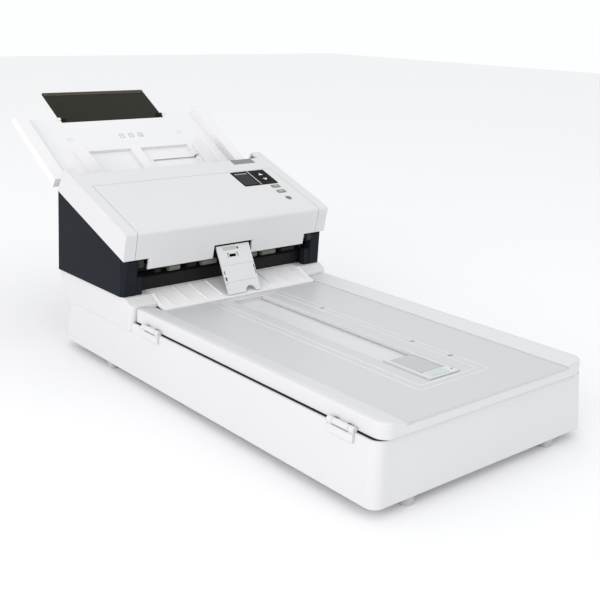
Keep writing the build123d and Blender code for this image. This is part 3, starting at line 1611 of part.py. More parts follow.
pinion_pitch = 10.0
pinion_teeth = 20
rack_pitch = 2 * pi * pinion_pitch / pinion_teeth
pinion_along = (track_left[0] + track_left[1] + track_right[0] + track_right[1]) / 4
rack_above = (-10.0, -7.0)
rack_width = 5.0
addendum = 0.8
dedendum = 1.2
tooth_root = 1.5
tooth_tip = 0.8
under_half = track_far + 12.0
under_along = (well[0] - 2.0 + 8.0, well[1] + 2.0)
with BuildPart() as tray_under_cover:
    # shallow box under the tray that hides the racks
    strip((-under_half, under_half), under_along, (-under_depth, -well_depth - well_floor - 0.3))
    strip(
        (-under_half + 2, under_half - 2),
        (under_along[0] + 2, under_along[1] - 2),
        (-under_depth + 1.5, 0),
        Mode.SUBTRACT,
    )
    # post the pinion turns on
    with BuildSketch(Plane(origin=(0, *on_path(pinion_along, -under_depth + 1)), x_dir=(1, 0, 0),
                           z_dir=path.y_dir)) as pin:
        Circle(2.0)
    extrude(pin.sketch, amount=under_depth - well_depth - well_floor - 1.8)
tray_under_cover.part.label = "tray_under_cover"
export_step(tray_under_cover.part, "parts/tray_under_cover.step")

pinion_plane = Plane(
    origin=(0, *on_path(pinion_along, rack_above[0])), x_dir=(1, 0, 0), z_dir=path.y_dir
)
with BuildPart() as guide_pinion:
    with BuildSketch(pinion_plane):
        Circle(pinion_pitch - dedendum)
        with PolarLocations(0, pinion_teeth):
            with BuildLine():
                Polyline(
                    (pinion_pitch - dedendum - 0.5, -tooth_root / 2),
                    (pinion_pitch + addendum, -tooth_tip / 2),
                    (pinion_pitch + addendum, tooth_tip / 2),
                    (pinion_pitch - dedendum - 0.5, tooth_root / 2),
                    close=True,
                )
            make_face()
        Circle(2.0 + running, mode=Mode.SUBTRACT)
    extrude(amount=rack_above[1] - rack_above[0])
guide_pinion.part.label = "guide_pinion"
export_step(guide_pinion.part, "parts/guide_pinion.step")


def rack_teeth(side_sign, first, last):
    """Teeth of one rack, centred half a pitch off the pinion's tooth at x = 0."""
    face = pinion_along + side_sign * (pinion_pitch + dedendum)
    tip = pinion_along + side_sign * (pinion_pitch - addendum)
    for k in range(first, last):
        x = (k + 0.5) * rack_pitch
        with BuildSketch(pinion_plane) as tooth:
            with BuildLine():
                Polyline(
                    (x - tooth_root / 2, face - pinion_along + side_sign * 0.2),
                    (x - tooth_tip / 2, tip - pinion_along),
                    (x + tooth_tip / 2, tip - pinion_along),
                    (x + tooth_root / 2, face - pinion_along + side_sign * 0.2),
                    close=True,
                )
            make_face()
        extrude(tooth.sketch, amount=rack_above[1] - rack_above[0])


def paper_guide(side_sign):
    """One sliding paper guide: fin, flange on the tray, foot through its track, and rack."""
    track = track_left if side_sign < 0 else track_right
    inner = side_sign * guide_half_gap
    outer = inner + side_sign * guide_skin_thickness
    edge = inner + side_sign * guide_flange
    foot = (track[0] + gap, track[1] - gap)
    rack_side = 1 if side_sign > 0 else -1
    rack_face = pinion_along + rack_side * (pinion_pitch + dedendum)
    rack_along = sorted((rack_face, rack_face + rack_side * rack_width))
    with BuildPart() as guide:
        with BuildSketch(path.offset(min(inner, outer))) as fin:
            with BuildLine():
                Polyline(
                    (-4, gap),
                    (-4, guide_height - 9),
                    (4, guide_height),
                    (guide_length - 30, guide_height + 1),
                    (guide_length - 14, guide_height - 4),
                    (guide_length - 4, guide_height - 5),
                    (guide_length, guide_height - 12),
                    (guide_length, gap),
                    close=True,
                )
            make_face()
        extrude(fin.sketch, amount=guide_skin_thickness)
        strip(sorted((inner, edge)), (18, guide_length), (gap, gap + 2.0))
        # foot down through the track, and the rack under the tray
        foot_x = sorted((inner - side_sign * 1.0, inner + side_sign * foot_width))
        strip(foot_x, foot, (rack_above[0], gap + 1))
        far = -side_sign * (foot_width + 5)
        strip(sorted((inner, far)), rack_along, rack_above)
        strip(foot_x, sorted((foot[0], foot[1], *rack_along))[::3], rack_above)
        count = int(guide_half_gap / rack_pitch) - 1
        if side_sign < 0:
            rack_teeth(rack_side, -count, 2)
        else:
            rack_teeth(rack_side, -2, count)
    return guide


left_guide = paper_guide(-1)
left_guide.part.label = "paper_guide_left"
export_step(left_guide.part, "parts/paper_guide_left.step")

right_guide = paper_guide(1)
right_guide.part.label = "paper_guide_right"
export_step(right_guide.part, "parts/paper_guide_right.step")

with BuildPart() as tray_extension:
    strip(
        (-extension_half_width, extension_half_width),
        (extension_hinge - extension_tail, tip_run),
        (-extension_thickness, 0),
    )
    # a short knuckle at each end, bored for the tray's pins
    for side_sign in (-1, 1):
        inner = side_sign * (extension_half_width - knuckle_width)
        x = sorted((side_sign * extension_half_width, inner))
        shaft(x, (extension_hinge, 0), ear_radius, plane=path)
        x = sorted((side_sign * (extension_half_width + 1), inner + side_sign))
        shaft(x, (extension_hinge, 0), extension_pin + running, Mode.SUBTRACT, path)
tray_extension.part.label = "tray_extension"
export_step(tray_extension.part, "parts/tray_extension.step")

# ---------------------------------------------------------------- screws under the base
screw_head = 3.4
with BuildPart() as base_screws:
    for x, y in boss_spots:
        post((x, y), screw_head, (foot_height - 2.0, foot_height))
        with BuildSketch(Plane.XY.offset(foot_height - 2.0)) as drive:
            with Locations((x, y)):
                Rectangle(4.0, 0.9)
                Rectangle(0.9, 4.0)
        extrude(drive.sketch, amount=1.0, mode=Mode.SUBTRACT)
base_screws.part.label = "base_screws"
export_step(base_screws.part, "parts/base_screws.step")
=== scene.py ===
import json
from math import cos, pi, radians, sin

import bmesh
import bpy
from mathutils import Matrix, Vector


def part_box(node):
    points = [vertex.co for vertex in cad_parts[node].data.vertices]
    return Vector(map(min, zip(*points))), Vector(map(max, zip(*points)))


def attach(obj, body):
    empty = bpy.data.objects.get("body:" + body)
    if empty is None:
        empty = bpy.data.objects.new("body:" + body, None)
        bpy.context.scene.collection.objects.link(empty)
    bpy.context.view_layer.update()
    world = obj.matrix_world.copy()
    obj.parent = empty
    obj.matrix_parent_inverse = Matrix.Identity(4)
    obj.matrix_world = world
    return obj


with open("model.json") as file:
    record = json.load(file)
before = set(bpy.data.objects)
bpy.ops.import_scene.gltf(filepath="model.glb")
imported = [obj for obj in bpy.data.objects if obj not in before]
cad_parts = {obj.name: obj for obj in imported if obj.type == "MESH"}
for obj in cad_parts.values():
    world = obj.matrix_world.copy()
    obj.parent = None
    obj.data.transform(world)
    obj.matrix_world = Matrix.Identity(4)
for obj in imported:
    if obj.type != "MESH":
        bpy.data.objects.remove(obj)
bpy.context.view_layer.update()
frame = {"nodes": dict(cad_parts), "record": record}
nodes = frame["nodes"]

# ------------------------------------------------------------------ standing on a pale table
# The scanner stands on a plain pale table under three broad lamps and an even room light.
# The table top is matt card.
CARD = (0.90, 0.90, 0.905)
TABLE = 14.0


def looking(yaw, pitch, roll):
    """Turns a camera to face yaw from +Y towards +X, pitched down and rolled."""
    ahead = Vector((sin(yaw) * cos(pitch), cos(yaw) * cos(pitch), -sin(pitch)))
    right = Vector((cos(yaw), -sin(yaw), 0))
    above = right.cross(ahead)
    across = cos(roll) * right + sin(roll) * above
    upright = cos(roll) * above - sin(roll) * right
    return Matrix((across, upright, -ahead)).transposed().to_euler()


lens = bpy.data.cameras.new("camera")
lens.sensor_width = 36.0
lens.lens = 57.935
lens.shift_x = 0.163
lens.shift_y = -0.1174
lens.clip_end = 30.0
camera = bpy.data.objects.new("camera", lens)
camera.location = (-0.80069, -0.95333, 0.46676)
camera.rotation_euler = looking(radians(37.224), radians(12.954), radians(1.533))
bpy.context.collection.objects.link(camera)
bpy.context.scene.camera = camera
bpy.context.scene.view_settings.view_transform = "Standard"

room = bpy.data.worlds.new("room")
room.use_nodes = True
room.node_tree.nodes["Background"].inputs["Color"].default_value = (0.985, 0.995, 1.0, 1)
room.node_tree.nodes["Background"].inputs["Strength"].default_value = 1.0
bpy.context.scene.world = room
for name, place, side, watts, tint in [
    ("lamp_left", (-2.3, -0.8, 1.0), 1.9, 24, (1.0, 0.955, 0.975)),
    ("lamp_above", (0.6, 0.9, 2.3), 2.2, 1, (1.0, 1.0, 1.0)),
    ("lamp_front", (0.9, -2.6, 1.1), 1.8, 5, (0.95, 1.0, 0.97)),
]:
    light = bpy.data.lights.new(name, "AREA")
    light.shape = "SQUARE"
    light.size = side
    light.energy = watts
    light.color = tint
    lamp = bpy.data.objects.new(name, light)
    lamp.location = place
    lamp.rotation_euler = (Vector((0, -0.05, 0.1)) - Vector(place)).to_track_quat("-Z", "Y").to_euler()
    bpy.context.collection.objects.link(lamp)


class Wire:
    """A socket of a finish. Sums written on it become maths nodes."""

    def __init__(self, finish, made, output=0):
        self.finish = finish
        self.made = made
        self.socket = made.outputs[output]

    def out(self, output):
        return Wire(self.finish, self.made, output)

    def maths(self, operation, *terms):
        return self.finish.node("ShaderNodeMath", {"operation": operation}, dict(enumerate(terms)))

    def __add__(self, other):
        return self.maths("ADD", self, other)

    def __sub__(self, other):
        return self.maths("SUBTRACT", self, other)

    def __rsub__(self, other):
        return self.maths("SUBTRACT", other, self)

    def __mul__(self, other):
        return self.maths("MULTIPLY", self, other)

    __radd__ = __add__
    __rmul__ = __mul__


class Finish:
    """One material, with the place on the object as its starting wire."""

    def __init__(self, name, **constants):
        self.material = bpy.data.materials.new(name)
        self.material.use_nodes = True
        self.tree = self.material.node_tree
        self.shader = self.tree.nodes["Principled BSDF"]
        self.place = self.node("ShaderNodeTexCoord").out("Object")
        for socket, value in constants.items():
            self.feed(socket.replace("_", " "), value)

    def node(self, kind, settings=None, sockets=None):
        made = self.tree.nodes.new(kind)
        for word, value in (settings or {}).items():
            setattr(made, word, value)
        for key, value in (sockets or {}).items():
            self.join(made.inputs[key], value)
        return Wire(self, made)

    def join(self, socket, value):
        if isinstance(value, Wire):
            self.tree.links.new(value.socket, socket)
        else:
            socket.default_value = value

    def feed(self, name, value):
        self.join(self.shader.inputs[name], value)

    def cloud(self, scale, detail=3.0, stretch=None):
        """Soft noise, 0 to 1, with features about 1/scale metres across."""
        place = self.place
        if stretch:
            place = self.node("ShaderNodeMapping", {}, {"Vector": place, "Scale": stretch})
        return self.node("ShaderNodeTexNoise", {}, {"Vector": place, "Scale": scale, "Detail": detail})

    def mixed(self, share, first, second):
        """A colour between two, by share."""
        return self.node(
            "ShaderNodeMix", {"data_type": "RGBA"}, {0: share, 6: (*first, 1), 7: (*second, 1)}
        ).out(2)

    def relief(self, height, depth, edge=0.0):
        """Bump of a depth in metres, with moulded edges eased by a small radius."""
        sockets = {"Height": height, "Distance": depth, "Strength": 1.0}
        if edge:
            sockets["Normal"] = self.node("ShaderNodeBevel", {"samples": 4}, {"Radius": edge})
        self.feed("Normal", self.node("ShaderNodeBump", {}, sockets))


card = Finish("card", Roughness=0.9)
card.feed("Base Color", card.mixed(card.cloud(3.0), CARD, tuple(0.985 * tone for tone in CARD)))
floor_mesh = bpy.data.meshes.new("table")
half = TABLE / 2
table_corners = [(-half, -half, 0), (half, -half, 0), (half, half, 0), (-half, half, 0)]
floor_mesh.from_pydata(table_corners, [], [(0, 1, 2, 3)])
floor_mesh.materials.append(card.material)
table = bpy.data.objects.new("table", floor_mesh)
bpy.context.collection.objects.link(table)

# ------------------------------------------------------------------ white shell
# Every light outer part is injection-moulded ABS: the base shell, the neck, the lid, the cover,
# the tray and the guides. The tool's surface leaves a fine spark grain and eased edges.
EASED_EDGE = 0.0007
SHELL_LIGHT = (0.690, 0.692, 0.697)
SHELL_DARK = (0.650, 0.653, 0.660)


def dress(material, *names):
    """Gives named parts of the frame a finish."""
    for name in names:
        for place in nodes[name].material_slots:
            place.material = material


def moulded(name, light, dark, rough, grain, depth, edge=EASED_EDGE, shine=0.3, shaded=None):
    """Moulded plastic: slow flow tones, a fine grain and slightly uneven gloss, plus painted shade where
    shaded is given.
    """
    finish = Finish(name, Specular_IOR_Level=shine)
    flow = finish.cloud(7.0, 2.0)
    speck = finish.cloud(grain, 2.0)
    tone = finish.mixed(flow * 0.7 + speck * 0.3, light, dark)
    if shaded:
        tone = shaded(finish, tone)
    finish.feed("Base Color", tone)
    finish.feed("Roughness", rough + (finish.cloud(55.0) - 0.5) * 0.12)
    finish.relief(speck, depth, edge)
    return finish.material


white_shell = moulded("white_shell", SHELL_LIGHT, SHELL_DARK, 0.42, 1500.0, 0.00004)
dress(
    white_shell,
    "base_housing", "neck_cover", "lid_shell", "lid_hinge_arms", "lid_hinge_brackets",
    "cover_insert", "exit_flap", "stopper_slider",
)
# Painted light: the tray, its under cover and the paper guides take a brighter copy of the white shell,
# standing in for light where the tray lies in shade.
tray_white_painted_light = moulded("tray_white_painted_light", (0.80, 0.80, 0.805), (0.76, 0.76, 0.765), 0.42, 1500.0, 0.00004)
dress(tray_white_painted_light, "input_tray", "tray_under_cover", "paper_guide_left", "paper_guide_right")
# Painted light: the exit ramp takes a brighter copy of the white shell, standing in for light where it lies
# in shade.
ramp_white_painted_light = moulded("ramp_white_painted_light", (0.86, 0.86, 0.865), (0.82, 0.82, 0.825), 0.42, 1500.0, 0.00004)
dress(ramp_white_painted_light, "exit_ramp")

# The cover's low part between the two side caps, behind the front pillars, is painted black: painted shade
# where it lies in shadow.


def joint_place(name):
    """Where a named joint of the frame lies."""
    joints = frame["record"]["behaviour"]["joints"]
    return Vector(next(joint["pos_m"] for joint in joints if joint["name"] == name))


hinge_point = joint_place("cover_hinge")
SHADE_BAND_HALF = 0.1515
SHADE_BAND_TOP = 0.0085
PAINTED_SHADE_BLACK = (0.012, 0.012, 0.014, 1)


def painted_shade_low_cover(finish, tone):
    """Paints shade: blacks the part of the cover that lies low between the two side caps."""
    parts = finish.node("ShaderNodeSeparateXYZ", {}, {"Vector": finish.place})
    inside = SHADE_BAND_HALF - parts.out("X").maths("ABSOLUTE", parts.out("X"))
    low = hinge_point.z + SHADE_BAND_TOP - parts.out("Z")
    shade_mask = inside.maths("GREATER_THAN", inside, 0.0) * low.maths("GREATER_THAN", low, 0.0)
    return finish.node("ShaderNodeMix", {"data_type": "RGBA"}, {0: shade_mask, 6: tone, 7: PAINTED_SHADE_BLACK}).out(2)


cover_shell_painted_shade = moulded("cover_shell_painted_shade", SHELL_LIGHT, SHELL_DARK, 0.42, 1500.0, 0.00004, shaded=painted_shade_low_cover)
dress(cover_shell_painted_shade, "cover_frame")

# ------------------------------------------------------------------ feet and base screws
# Six pressed-in rubber feet, slightly dusty underneath, and zinc-plated screws that close the
# base shell from below.
foot_rubber = Finish("foot_rubber", Specular_IOR_Level=0.3)
dust = foot_rubber.cloud(260.0, 5.0)
foot_rubber.feed("Base Color", foot_rubber.mixed(dust, (0.52, 0.52, 0.53), (0.40, 0.40, 0.41)))
foot_rubber.feed("Roughness", 0.78 + dust * 0.15)
foot_rubber.relief(dust, 0.0001)
dress(foot_rubber.material, "base_feet")


def metal(name, light, dark, rough, stretch, depth=0.00002):
    """Bare metal with fine tool lines along the direction that stretch leaves long."""
    finish = Finish(name, Metallic=1.0)
    lines = finish.cloud(60.0, 6.0, stretch)
    finish.feed("Base Color", finish.mixed(lines, light, dark))
    finish.feed("Roughness", rough + lines * 0.15)
    finish.relief(lines, depth)
    return finish.material


zinc = metal("zinc_screw", (0.62, 0.62, 0.64), (0.42, 0.42, 0.45), 0.28, (20, 20, 20))
dress(zinc, "base_screws")

# ------------------------------------------------------------------ flatbed: glass, carriage, drive
# Float glass bonded under a dark moulded frame. Below it a carriage with the sensor bar runs on a
# ground steel rod, drawn by a toothed belt from a small stepper motor.
pane = Finish("flatbed_glass", Transmission_Weight=1.0, IOR=1.52)
pane.feed("Base Color", pane.mixed(pane.cloud(2.0), (0.93, 0.98, 0.96), (0.91, 0.97, 0.95)))
pane.feed("Roughness", 0.015 + pane.cloud(8.0) * 0.02)
dress(pane.material, "platen_glass")
bezel_dark = moulded(
    "bezel_dark", (0.060, 0.062, 0.070), (0.045, 0.047, 0.054), 0.5, 900.0, 0.00005, shine=0.1
)
dress(bezel_dark, "flatbed_frame")
black_parts = moulded(
    "black_parts", (0.009, 0.009, 0.010), (0.016, 0.016, 0.017), 0.5, 900.0, 0.00005, shine=0.12
)
dress(
    black_parts,
    "scan_carriage", "flatbed_scan_module", "drive_pulley", "idler_pulley", "motor_wheel", "guide_pinion",
    "rear_sockets", "lower_scan_module", "upper_scan_module", "lower_paper_guide", "upper_paper_guide",
    "exit_beam",
)
ground_steel = metal("ground_steel", (0.70, 0.70, 0.71), (0.52, 0.52, 0.54), 0.18, (3, 60, 60))
dress(ground_steel, "guide_rod", "feed_shaft", "cover_hinge_pins")
belt = Finish("belt_rubber", Roughness=0.7)
tooth = belt.node(
    "ShaderNodeTexWave", {"bands_direction": "Y"}, {"Vector": belt.place, "Scale": 160.0, "Distortion": 0.0}
).out("Fac")
belt.feed("Base Color", belt.mixed(tooth, (0.018, 0.018, 0.019), (0.045, 0.045, 0.046)))
belt.relief(tooth, 0.0003)
dress(belt.material, "flatbed_belt", "drive_belts")
motor_can = Finish("motor_can", Metallic=0.4)
can = motor_can.cloud(120.0, 4.0)
motor_can.feed("Base Color", motor_can.mixed(can, (0.20, 0.21, 0.23), (0.13, 0.14, 0.15)))
motor_can.feed("Roughness", 0.32 + can * 0.2)
motor_can.relief(can, 0.00005)
dress(motor_can.material, "flatbed_motor", "feeder_motor")
board = Finish("circuit_board", Coat_Weight=0.4)
track = board.node(
    "ShaderNodeTexBrick", {},
    {"Vector": board.place, "Scale": 90.0, "Mortar Size": 0.06, "Color1": (0.02, 0.17, 0.08, 1),
     "Color2": (0.02, 0.22, 0.10, 1), "Mortar": (0.05, 0.34, 0.17, 1)},
)
board.feed("Base Color", track)
board.feed("Roughness", 0.3 + board.cloud(300.0) * 0.2)
dress(board.material, "main_board")
bronze = metal("sintered_bush", (0.72, 0.55, 0.30), (0.52, 0.38, 0.20), 0.35, (90, 90, 90))
dress(bronze, "roller_bushes")

# ------------------------------------------------------------------ lid and its catch tray
# The lid is a moulded frame with a satin grey bed where scanned sheets land. Under it a white foam
# pad with a film skin presses a page on the glass. Two fine lines are engraved round the channel.
bed_grey = moulded("bed_satin", (0.595, 0.600, 0.612), (0.560, 0.566, 0.578), 0.36, 2200.0, 0.00003)
dress(bed_grey, "lid_bed")
foam = Finish("pad_foam", Specular_IOR_Level=0.3)
cells = foam.cloud(1400.0, 2.0)
foam.feed("Base Color", foam.mixed(cells, (0.90, 0.90, 0.89), (0.84, 0.84, 0.83)))
foam.feed("Roughness", 0.55 + cells * 0.2)
foam.relief(cells, 0.00008)
dress(foam.material, "lid_pad")
stop_grey = moulded("stopper_grey", (0.50, 0.505, 0.515), (0.46, 0.465, 0.475), 0.35, 1500.0, 0.00003)
dress(stop_grey, "stopper_plate")


class Tree:
    """A Geometry Nodes tree with named number inputs."""

    def __init__(self, name, **sizes):
        self.group = bpy.data.node_groups.new(name, "GeometryNodeTree")
        self.group.interface.new_socket("Geometry", in_out="OUTPUT", socket_type="NodeSocketGeometry")
        self.keys = {}
        self.sizes = sizes
        for word in sizes:
            made = self.group.interface.new_socket(word, in_out="INPUT", socket_type="NodeSocketFloat")
            self.keys[word] = made.identifier
        self.inputs = self.group.nodes.new("NodeGroupInput")

    def add(self, kind, settings=None, sockets=None):
        made = self.group.nodes.new(kind)
        for word, value in (settings or {}).items():
            setattr(made, word, value)
        for key, value in (sockets or {}).items():
            if isinstance(value, str):
                value = self.inputs.outputs[value]
            if isinstance(value, bpy.types.Node):
                value = value.outputs[0]
            if isinstance(value, bpy.types.NodeSocket):
                self.group.links.new(value, made.inputs[key])
            else:
                made.inputs[key].default_value = value
        return made

    def make(self, name, geometry, material, body, slot):
        """Runs the tree on an empty mesh and keeps the result as a plain piece."""
        real = self.add("GeometryNodeRealizeInstances", {}, {0: geometry})
        painted = self.add("GeometryNodeSetMaterial", {}, {"Geometry": real, "Material": material})
        self.add("NodeGroupOutput", {}, {0: painted})
        seed = bpy.data.objects.new(name, bpy.data.meshes.new(name))
        bpy.context.collection.objects.link(seed)
        grow = seed.modifiers.new("grow", "NODES")
        grow.node_group = self.group
        for word, key in self.keys.items():
            grow[key] = self.sizes[word]
        ready = seed.evaluated_get(bpy.context.evaluated_depsgraph_get())
        mesh = bpy.data.meshes.new_from_object(ready)
        seed.modifiers.remove(grow)
        seed.data = mesh
        seed.data.name = name
        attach(seed, body)
        return seed


bed_low, bed_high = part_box("lid_bed")
line_ink = Finish("engraved_line", Roughness=0.5)
line_ink.feed("Base Color", line_ink.mixed(line_ink.cloud(500.0), (0.86, 0.86, 0.87), (0.80, 0.80, 0.81)))
BOXED = {"mode": "RECTANGLE"}
CHANNEL_MIDDLE = -0.002
LINE_SINK = 0.0003
for name, half_width, front, back in [
    ("bed_line_outer", 0.057, 0.0475, 0.397),
    ("bed_line_inner", 0.046, 0.056, 0.391),
]:
    tree = Tree(name, width=2 * half_width, length=back - front, corner=0.0008, line=0.0009)
    outline = {"Width": "width", "Height": "length"}
    loop = tree.add("GeometryNodeCurvePrimitiveQuadrilateral", BOXED, outline)
    eased = tree.add("GeometryNodeFilletCurve", {}, {"Curve": loop, "Radius": "corner"})
    section = {"Width": "line", "Height": "line"}
    square = tree.add("GeometryNodeCurvePrimitiveQuadrilateral", BOXED, section)
    tube = tree.add("GeometryNodeCurveToMesh", {}, {"Curve": eased, "Profile Curve": square})
    middle = (CHANNEL_MIDDLE, bed_low.y + (front + back) / 2, bed_high.z - LINE_SINK)
    placed = tree.add("GeometryNodeTransform", {}, {"Geometry": tube, "Translation": middle})
    tree.make(name, placed, line_ink.material, "lid", "bed_plastic")


def inlay(name, outlines, seat, low, high, material, body):
    """Thin raised marks: each outline, in metres on a seat, becomes a low flat block."""
    origin, along, across, up = seat
    shape = bmesh.new()
    for outline in outlines:
        rings = []
        for height in (low, high):
            rings.append([shape.verts.new(origin + a * along + b * across + height * up) for a, b in outline])
        count = len(outline)
        shape.faces.new(rings[1])
        shape.faces.new(rings[0][::-1])
        for step in range(count):
            following = (step + 1) % count
            shape.faces.new((rings[0][step], rings[0][following], rings[1][following], rings[1][step]))
    bmesh.ops.recalc_face_normals(shape, faces=shape.faces)
    mesh = bpy.data.meshes.new(name)
    shape.to_mesh(mesh)
    shape.free()
    mesh.materials.append(material)
    piece = bpy.data.objects.new(name, mesh)
    bpy.context.collection.objects.link(piece)
    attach(piece, body)
    return piece


def rounded(centre, size, radius, steps=5):
    """Outline of a rounded rectangle, anticlockwise."""
    points = []
    for turn, (right, top) in enumerate([(1, 1), (-1, 1), (-1, -1), (1, -1)]):
        corner = (centre[0] + right * (size[0] / 2 - radius), centre[1] + top * (size[1] / 2 - radius))
        for step in range(steps + 1):
            angle = (turn + step / steps) * pi / 2
            points.append((corner[0] + radius * cos(angle), corner[1] + radius * sin(angle)))
    return points


bed_seat = (Vector((0, bed_low.y, bed_high.z)), Vector((1, 0, 0)), Vector((0, 1, 0)), Vector((0, 0, 1)))
dark_ink = Finish("dark_print", Roughness=0.45)
dark_ink.feed("Base Color", dark_ink.mixed(dark_ink.cloud(900.0), (0.05, 0.05, 0.055), (0.08, 0.08, 0.085)))
marks = []
for depth in (0.306, 0.154, 0.098):
    marks.append([(0.0480, depth - 0.0020), (0.0500, depth), (0.0480, depth + 0.0020)])
    for step in range(3):
        marks.append(rounded((0.0515 + 0.0016 * step, depth), (0.0009, 0.0040), 0.0003, 2))
inlay("size_marks", marks, bed_seat, -0.0002, 0.00008, dark_ink.material, "lid")
stop_low, stop_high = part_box("stopper_slider")
dot_seat = (Vector((stop_high.x - 0.0055, stop_low.y + 0.008, stop_high.z)), *bed_seat[1:])
inlay("stopper_dot", [rounded((0, 0), (0.0026, 0.0026), 0.0012)], dot_seat, -0.0004, 0.0001,
      dark_ink.material, "stopper")
end_block = moulded("stopper_end", (0.62, 0.67, 0.69), (0.55, 0.60, 0.63), 0.22, 1300.0, 0.00003, shine=0.5)
end_seat = (Vector(((stop_low.x + stop_high.x) / 2, stop_low.y + 0.0095, stop_high.z)), *bed_seat[1:])
inlay("stopper_end_block", [rounded((-0.0035, 0), (0.0300, 0.0125), 0.0012, 3)], end_seat, -0.0006, 0.0007,
      end_block, "stopper")
END_RIB = (0.0009, 0.0105)
end_ribs = [rounded((-0.0135 + 0.0066 * step, 0), END_RIB, 0.0003, 2) for step in range(4)]
inlay("stopper_end_ribs", end_ribs, end_seat, 0.0005, 0.0012, end_block, "stopper")
pin_marks = []
hinge_low, hinge_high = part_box("lid_hinge_arms")
arm_seat = (Vector((hinge_low.x + 0.0052, 0, hinge_high.z)), *bed_seat[1:])
for middle in (hinge_low.y + 0.018, hinge_high.y - 0.018):
    for offset in (-0.009, 0.009):
        pin_marks.append(rounded((0, middle + offset), (0.0018, 0.005), 0.0007, 3))
inlay("hinge_arm_slots", pin_marks, arm_seat, -0.0004, 0.00006, dark_ink.material, "lid")

# ------------------------------------------------------------------ feeder body: side and back panels
# The dark side panels and the back panel are moulded in grained navy-black ABS. The back panel
# carries a moulded louvre field and is held by four screws.
navy = moulded("navy_panel", (0.011, 0.0135, 0.018), (0.016, 0.019, 0.025), 0.55, 1000.0, 0.00006, shine=0.06)
dress(navy, "side_panel_left", "side_panel_right", "rear_panel")
FACE_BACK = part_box("cover_frame")[1].y - 0.0030
louvre = Tree("louvres", pitch=0.0052, long=0.058, thick=0.0022)
FIN_DEPTH = 0.0012
fin = louvre.add("ShaderNodeCombineXYZ", {}, {"X": "long", "Y": FIN_DEPTH, "Z": "thick"})
bar = louvre.add("GeometryNodeMeshCube", {}, {"Size": fin})
stride = louvre.add("ShaderNodeCombineXYZ", {}, {"Z": "pitch"})
FINS = 9
first_fin = (-0.095, FACE_BACK, 0.135)
row = louvre.add("GeometryNodeMeshLine", {}, {"Count": FINS, "Start Location": first_fin, "Offset": stride})
fins = louvre.add("GeometryNodeInstanceOnPoints", {}, {"Points": row, "Instance": bar})
louvre.make("back_louvres", fins, navy, "base", "dark_plastic")
heads = Tree("back_screws", wide=0.250, tall=0.052, radius=0.0031, thick=0.0014)
corners = {"Size X": "wide", "Size Y": "tall", "Vertices X": 2, "Vertices Y": 2}
grid = heads.add("GeometryNodeMeshGrid", {}, corners)
disc = heads.add("GeometryNodeMeshCylinder", {}, {"Vertices": 24, "Radius": "radius", "Depth": "thick"})
HEAD_FACE = (0, 0, 0.0007)
slots = []
for size in ((0.0036, 0.0009, 0.0012), (0.0009, 0.0036, 0.0012)):
    cross = heads.add("GeometryNodeMeshCube", {}, {"Size": size})
    slots.append(heads.add("GeometryNodeTransform", {}, {"Geometry": cross, "Translation": HEAD_FACE}))
cut = heads.add("GeometryNodeMeshBoolean", {"operation": "DIFFERENCE"}, {"Mesh 1": disc})
for slot in slots:
    heads.group.links.new(slot.outputs[0], cut.inputs[1])
studs = heads.add("GeometryNodeInstanceOnPoints", {}, {"Points": grid, "Instance": cut.outputs[0]})
PANEL_MIDDLE = 0.150
stood = heads.add(
    "GeometryNodeTransform", {},
    {"Geometry": studs, "Translation": (0, FACE_BACK, PANEL_MIDDLE), "Rotation": (-pi / 2, 0, 0)},
)
heads.make("back_panel_screws", stood, zinc, "base", "screw_steel")

# ------------------------------------------------------------------ rollers and the exit
# Rubber-tyred rollers move the sheet, and small tyres with black brackets show under the cover's
# lip. The rubber is a warm grey with fine grinding lines round each tyre.
tyre = Finish("roller_rubber", Specular_IOR_Level=0.25)
rings = tyre.cloud(90.0, 4.0, (30, 1, 1))
tyre.feed("Base Color", tyre.mixed(rings, (0.30, 0.31, 0.28), (0.20, 0.205, 0.19)))
tyre.feed("Roughness", 0.62 + rings * 0.25)
tyre.relief(rings, 0.00008)
dress(
    tyre.material,
    "feed_tyres", "transport_roller", "exit_roller", "exit_idlers", "separation_roller", "pinch_roller",
)

LIP_FRONT = 0.0425
LIP_UNDER = 0.1340
exit_grey = moulded("exit_grey", (0.16, 0.17, 0.14), (0.10, 0.11, 0.09), 0.5, 900.0, 0.00004, shine=0.1)
tyres_at = [(-0.090, 0.017), (-0.033, 0.024), (0.042, 0.016), (0.072, 0.024)]
brackets_at = [(-0.116, 0.009), (-0.062, 0.014), (0.000, 0.020), (0.108, 0.024)]
for name, radius, material, slot_name, spots in [
    ("exit_tyres", 0.0040, exit_grey, "roller_rubber", tyres_at),
    ("exit_brackets", 0.0030, black_parts, "black_plastic", brackets_at),
]:
    row = Tree(name, radius=radius, under=LIP_UNDER, front=LIP_FRONT)
    joined = row.add("GeometryNodeJoinGeometry")
    for middle, breadth in spots:
        drum = row.add("GeometryNodeMeshCylinder", {}, {"Vertices": 20, "Radius": "radius", "Depth": breadth})
        spot = row.add("ShaderNodeCombineXYZ", {}, {"X": middle, "Y": "front", "Z": "under"})
        turned = {"Geometry": drum, "Translation": spot, "Rotation": (0, pi / 2, 0)}
        laid = row.add("GeometryNodeTransform", {}, turned)
        row.group.links.new(laid.outputs[0], joined.inputs[0])
    row.make(name, joined, material, "cover", slot_name)

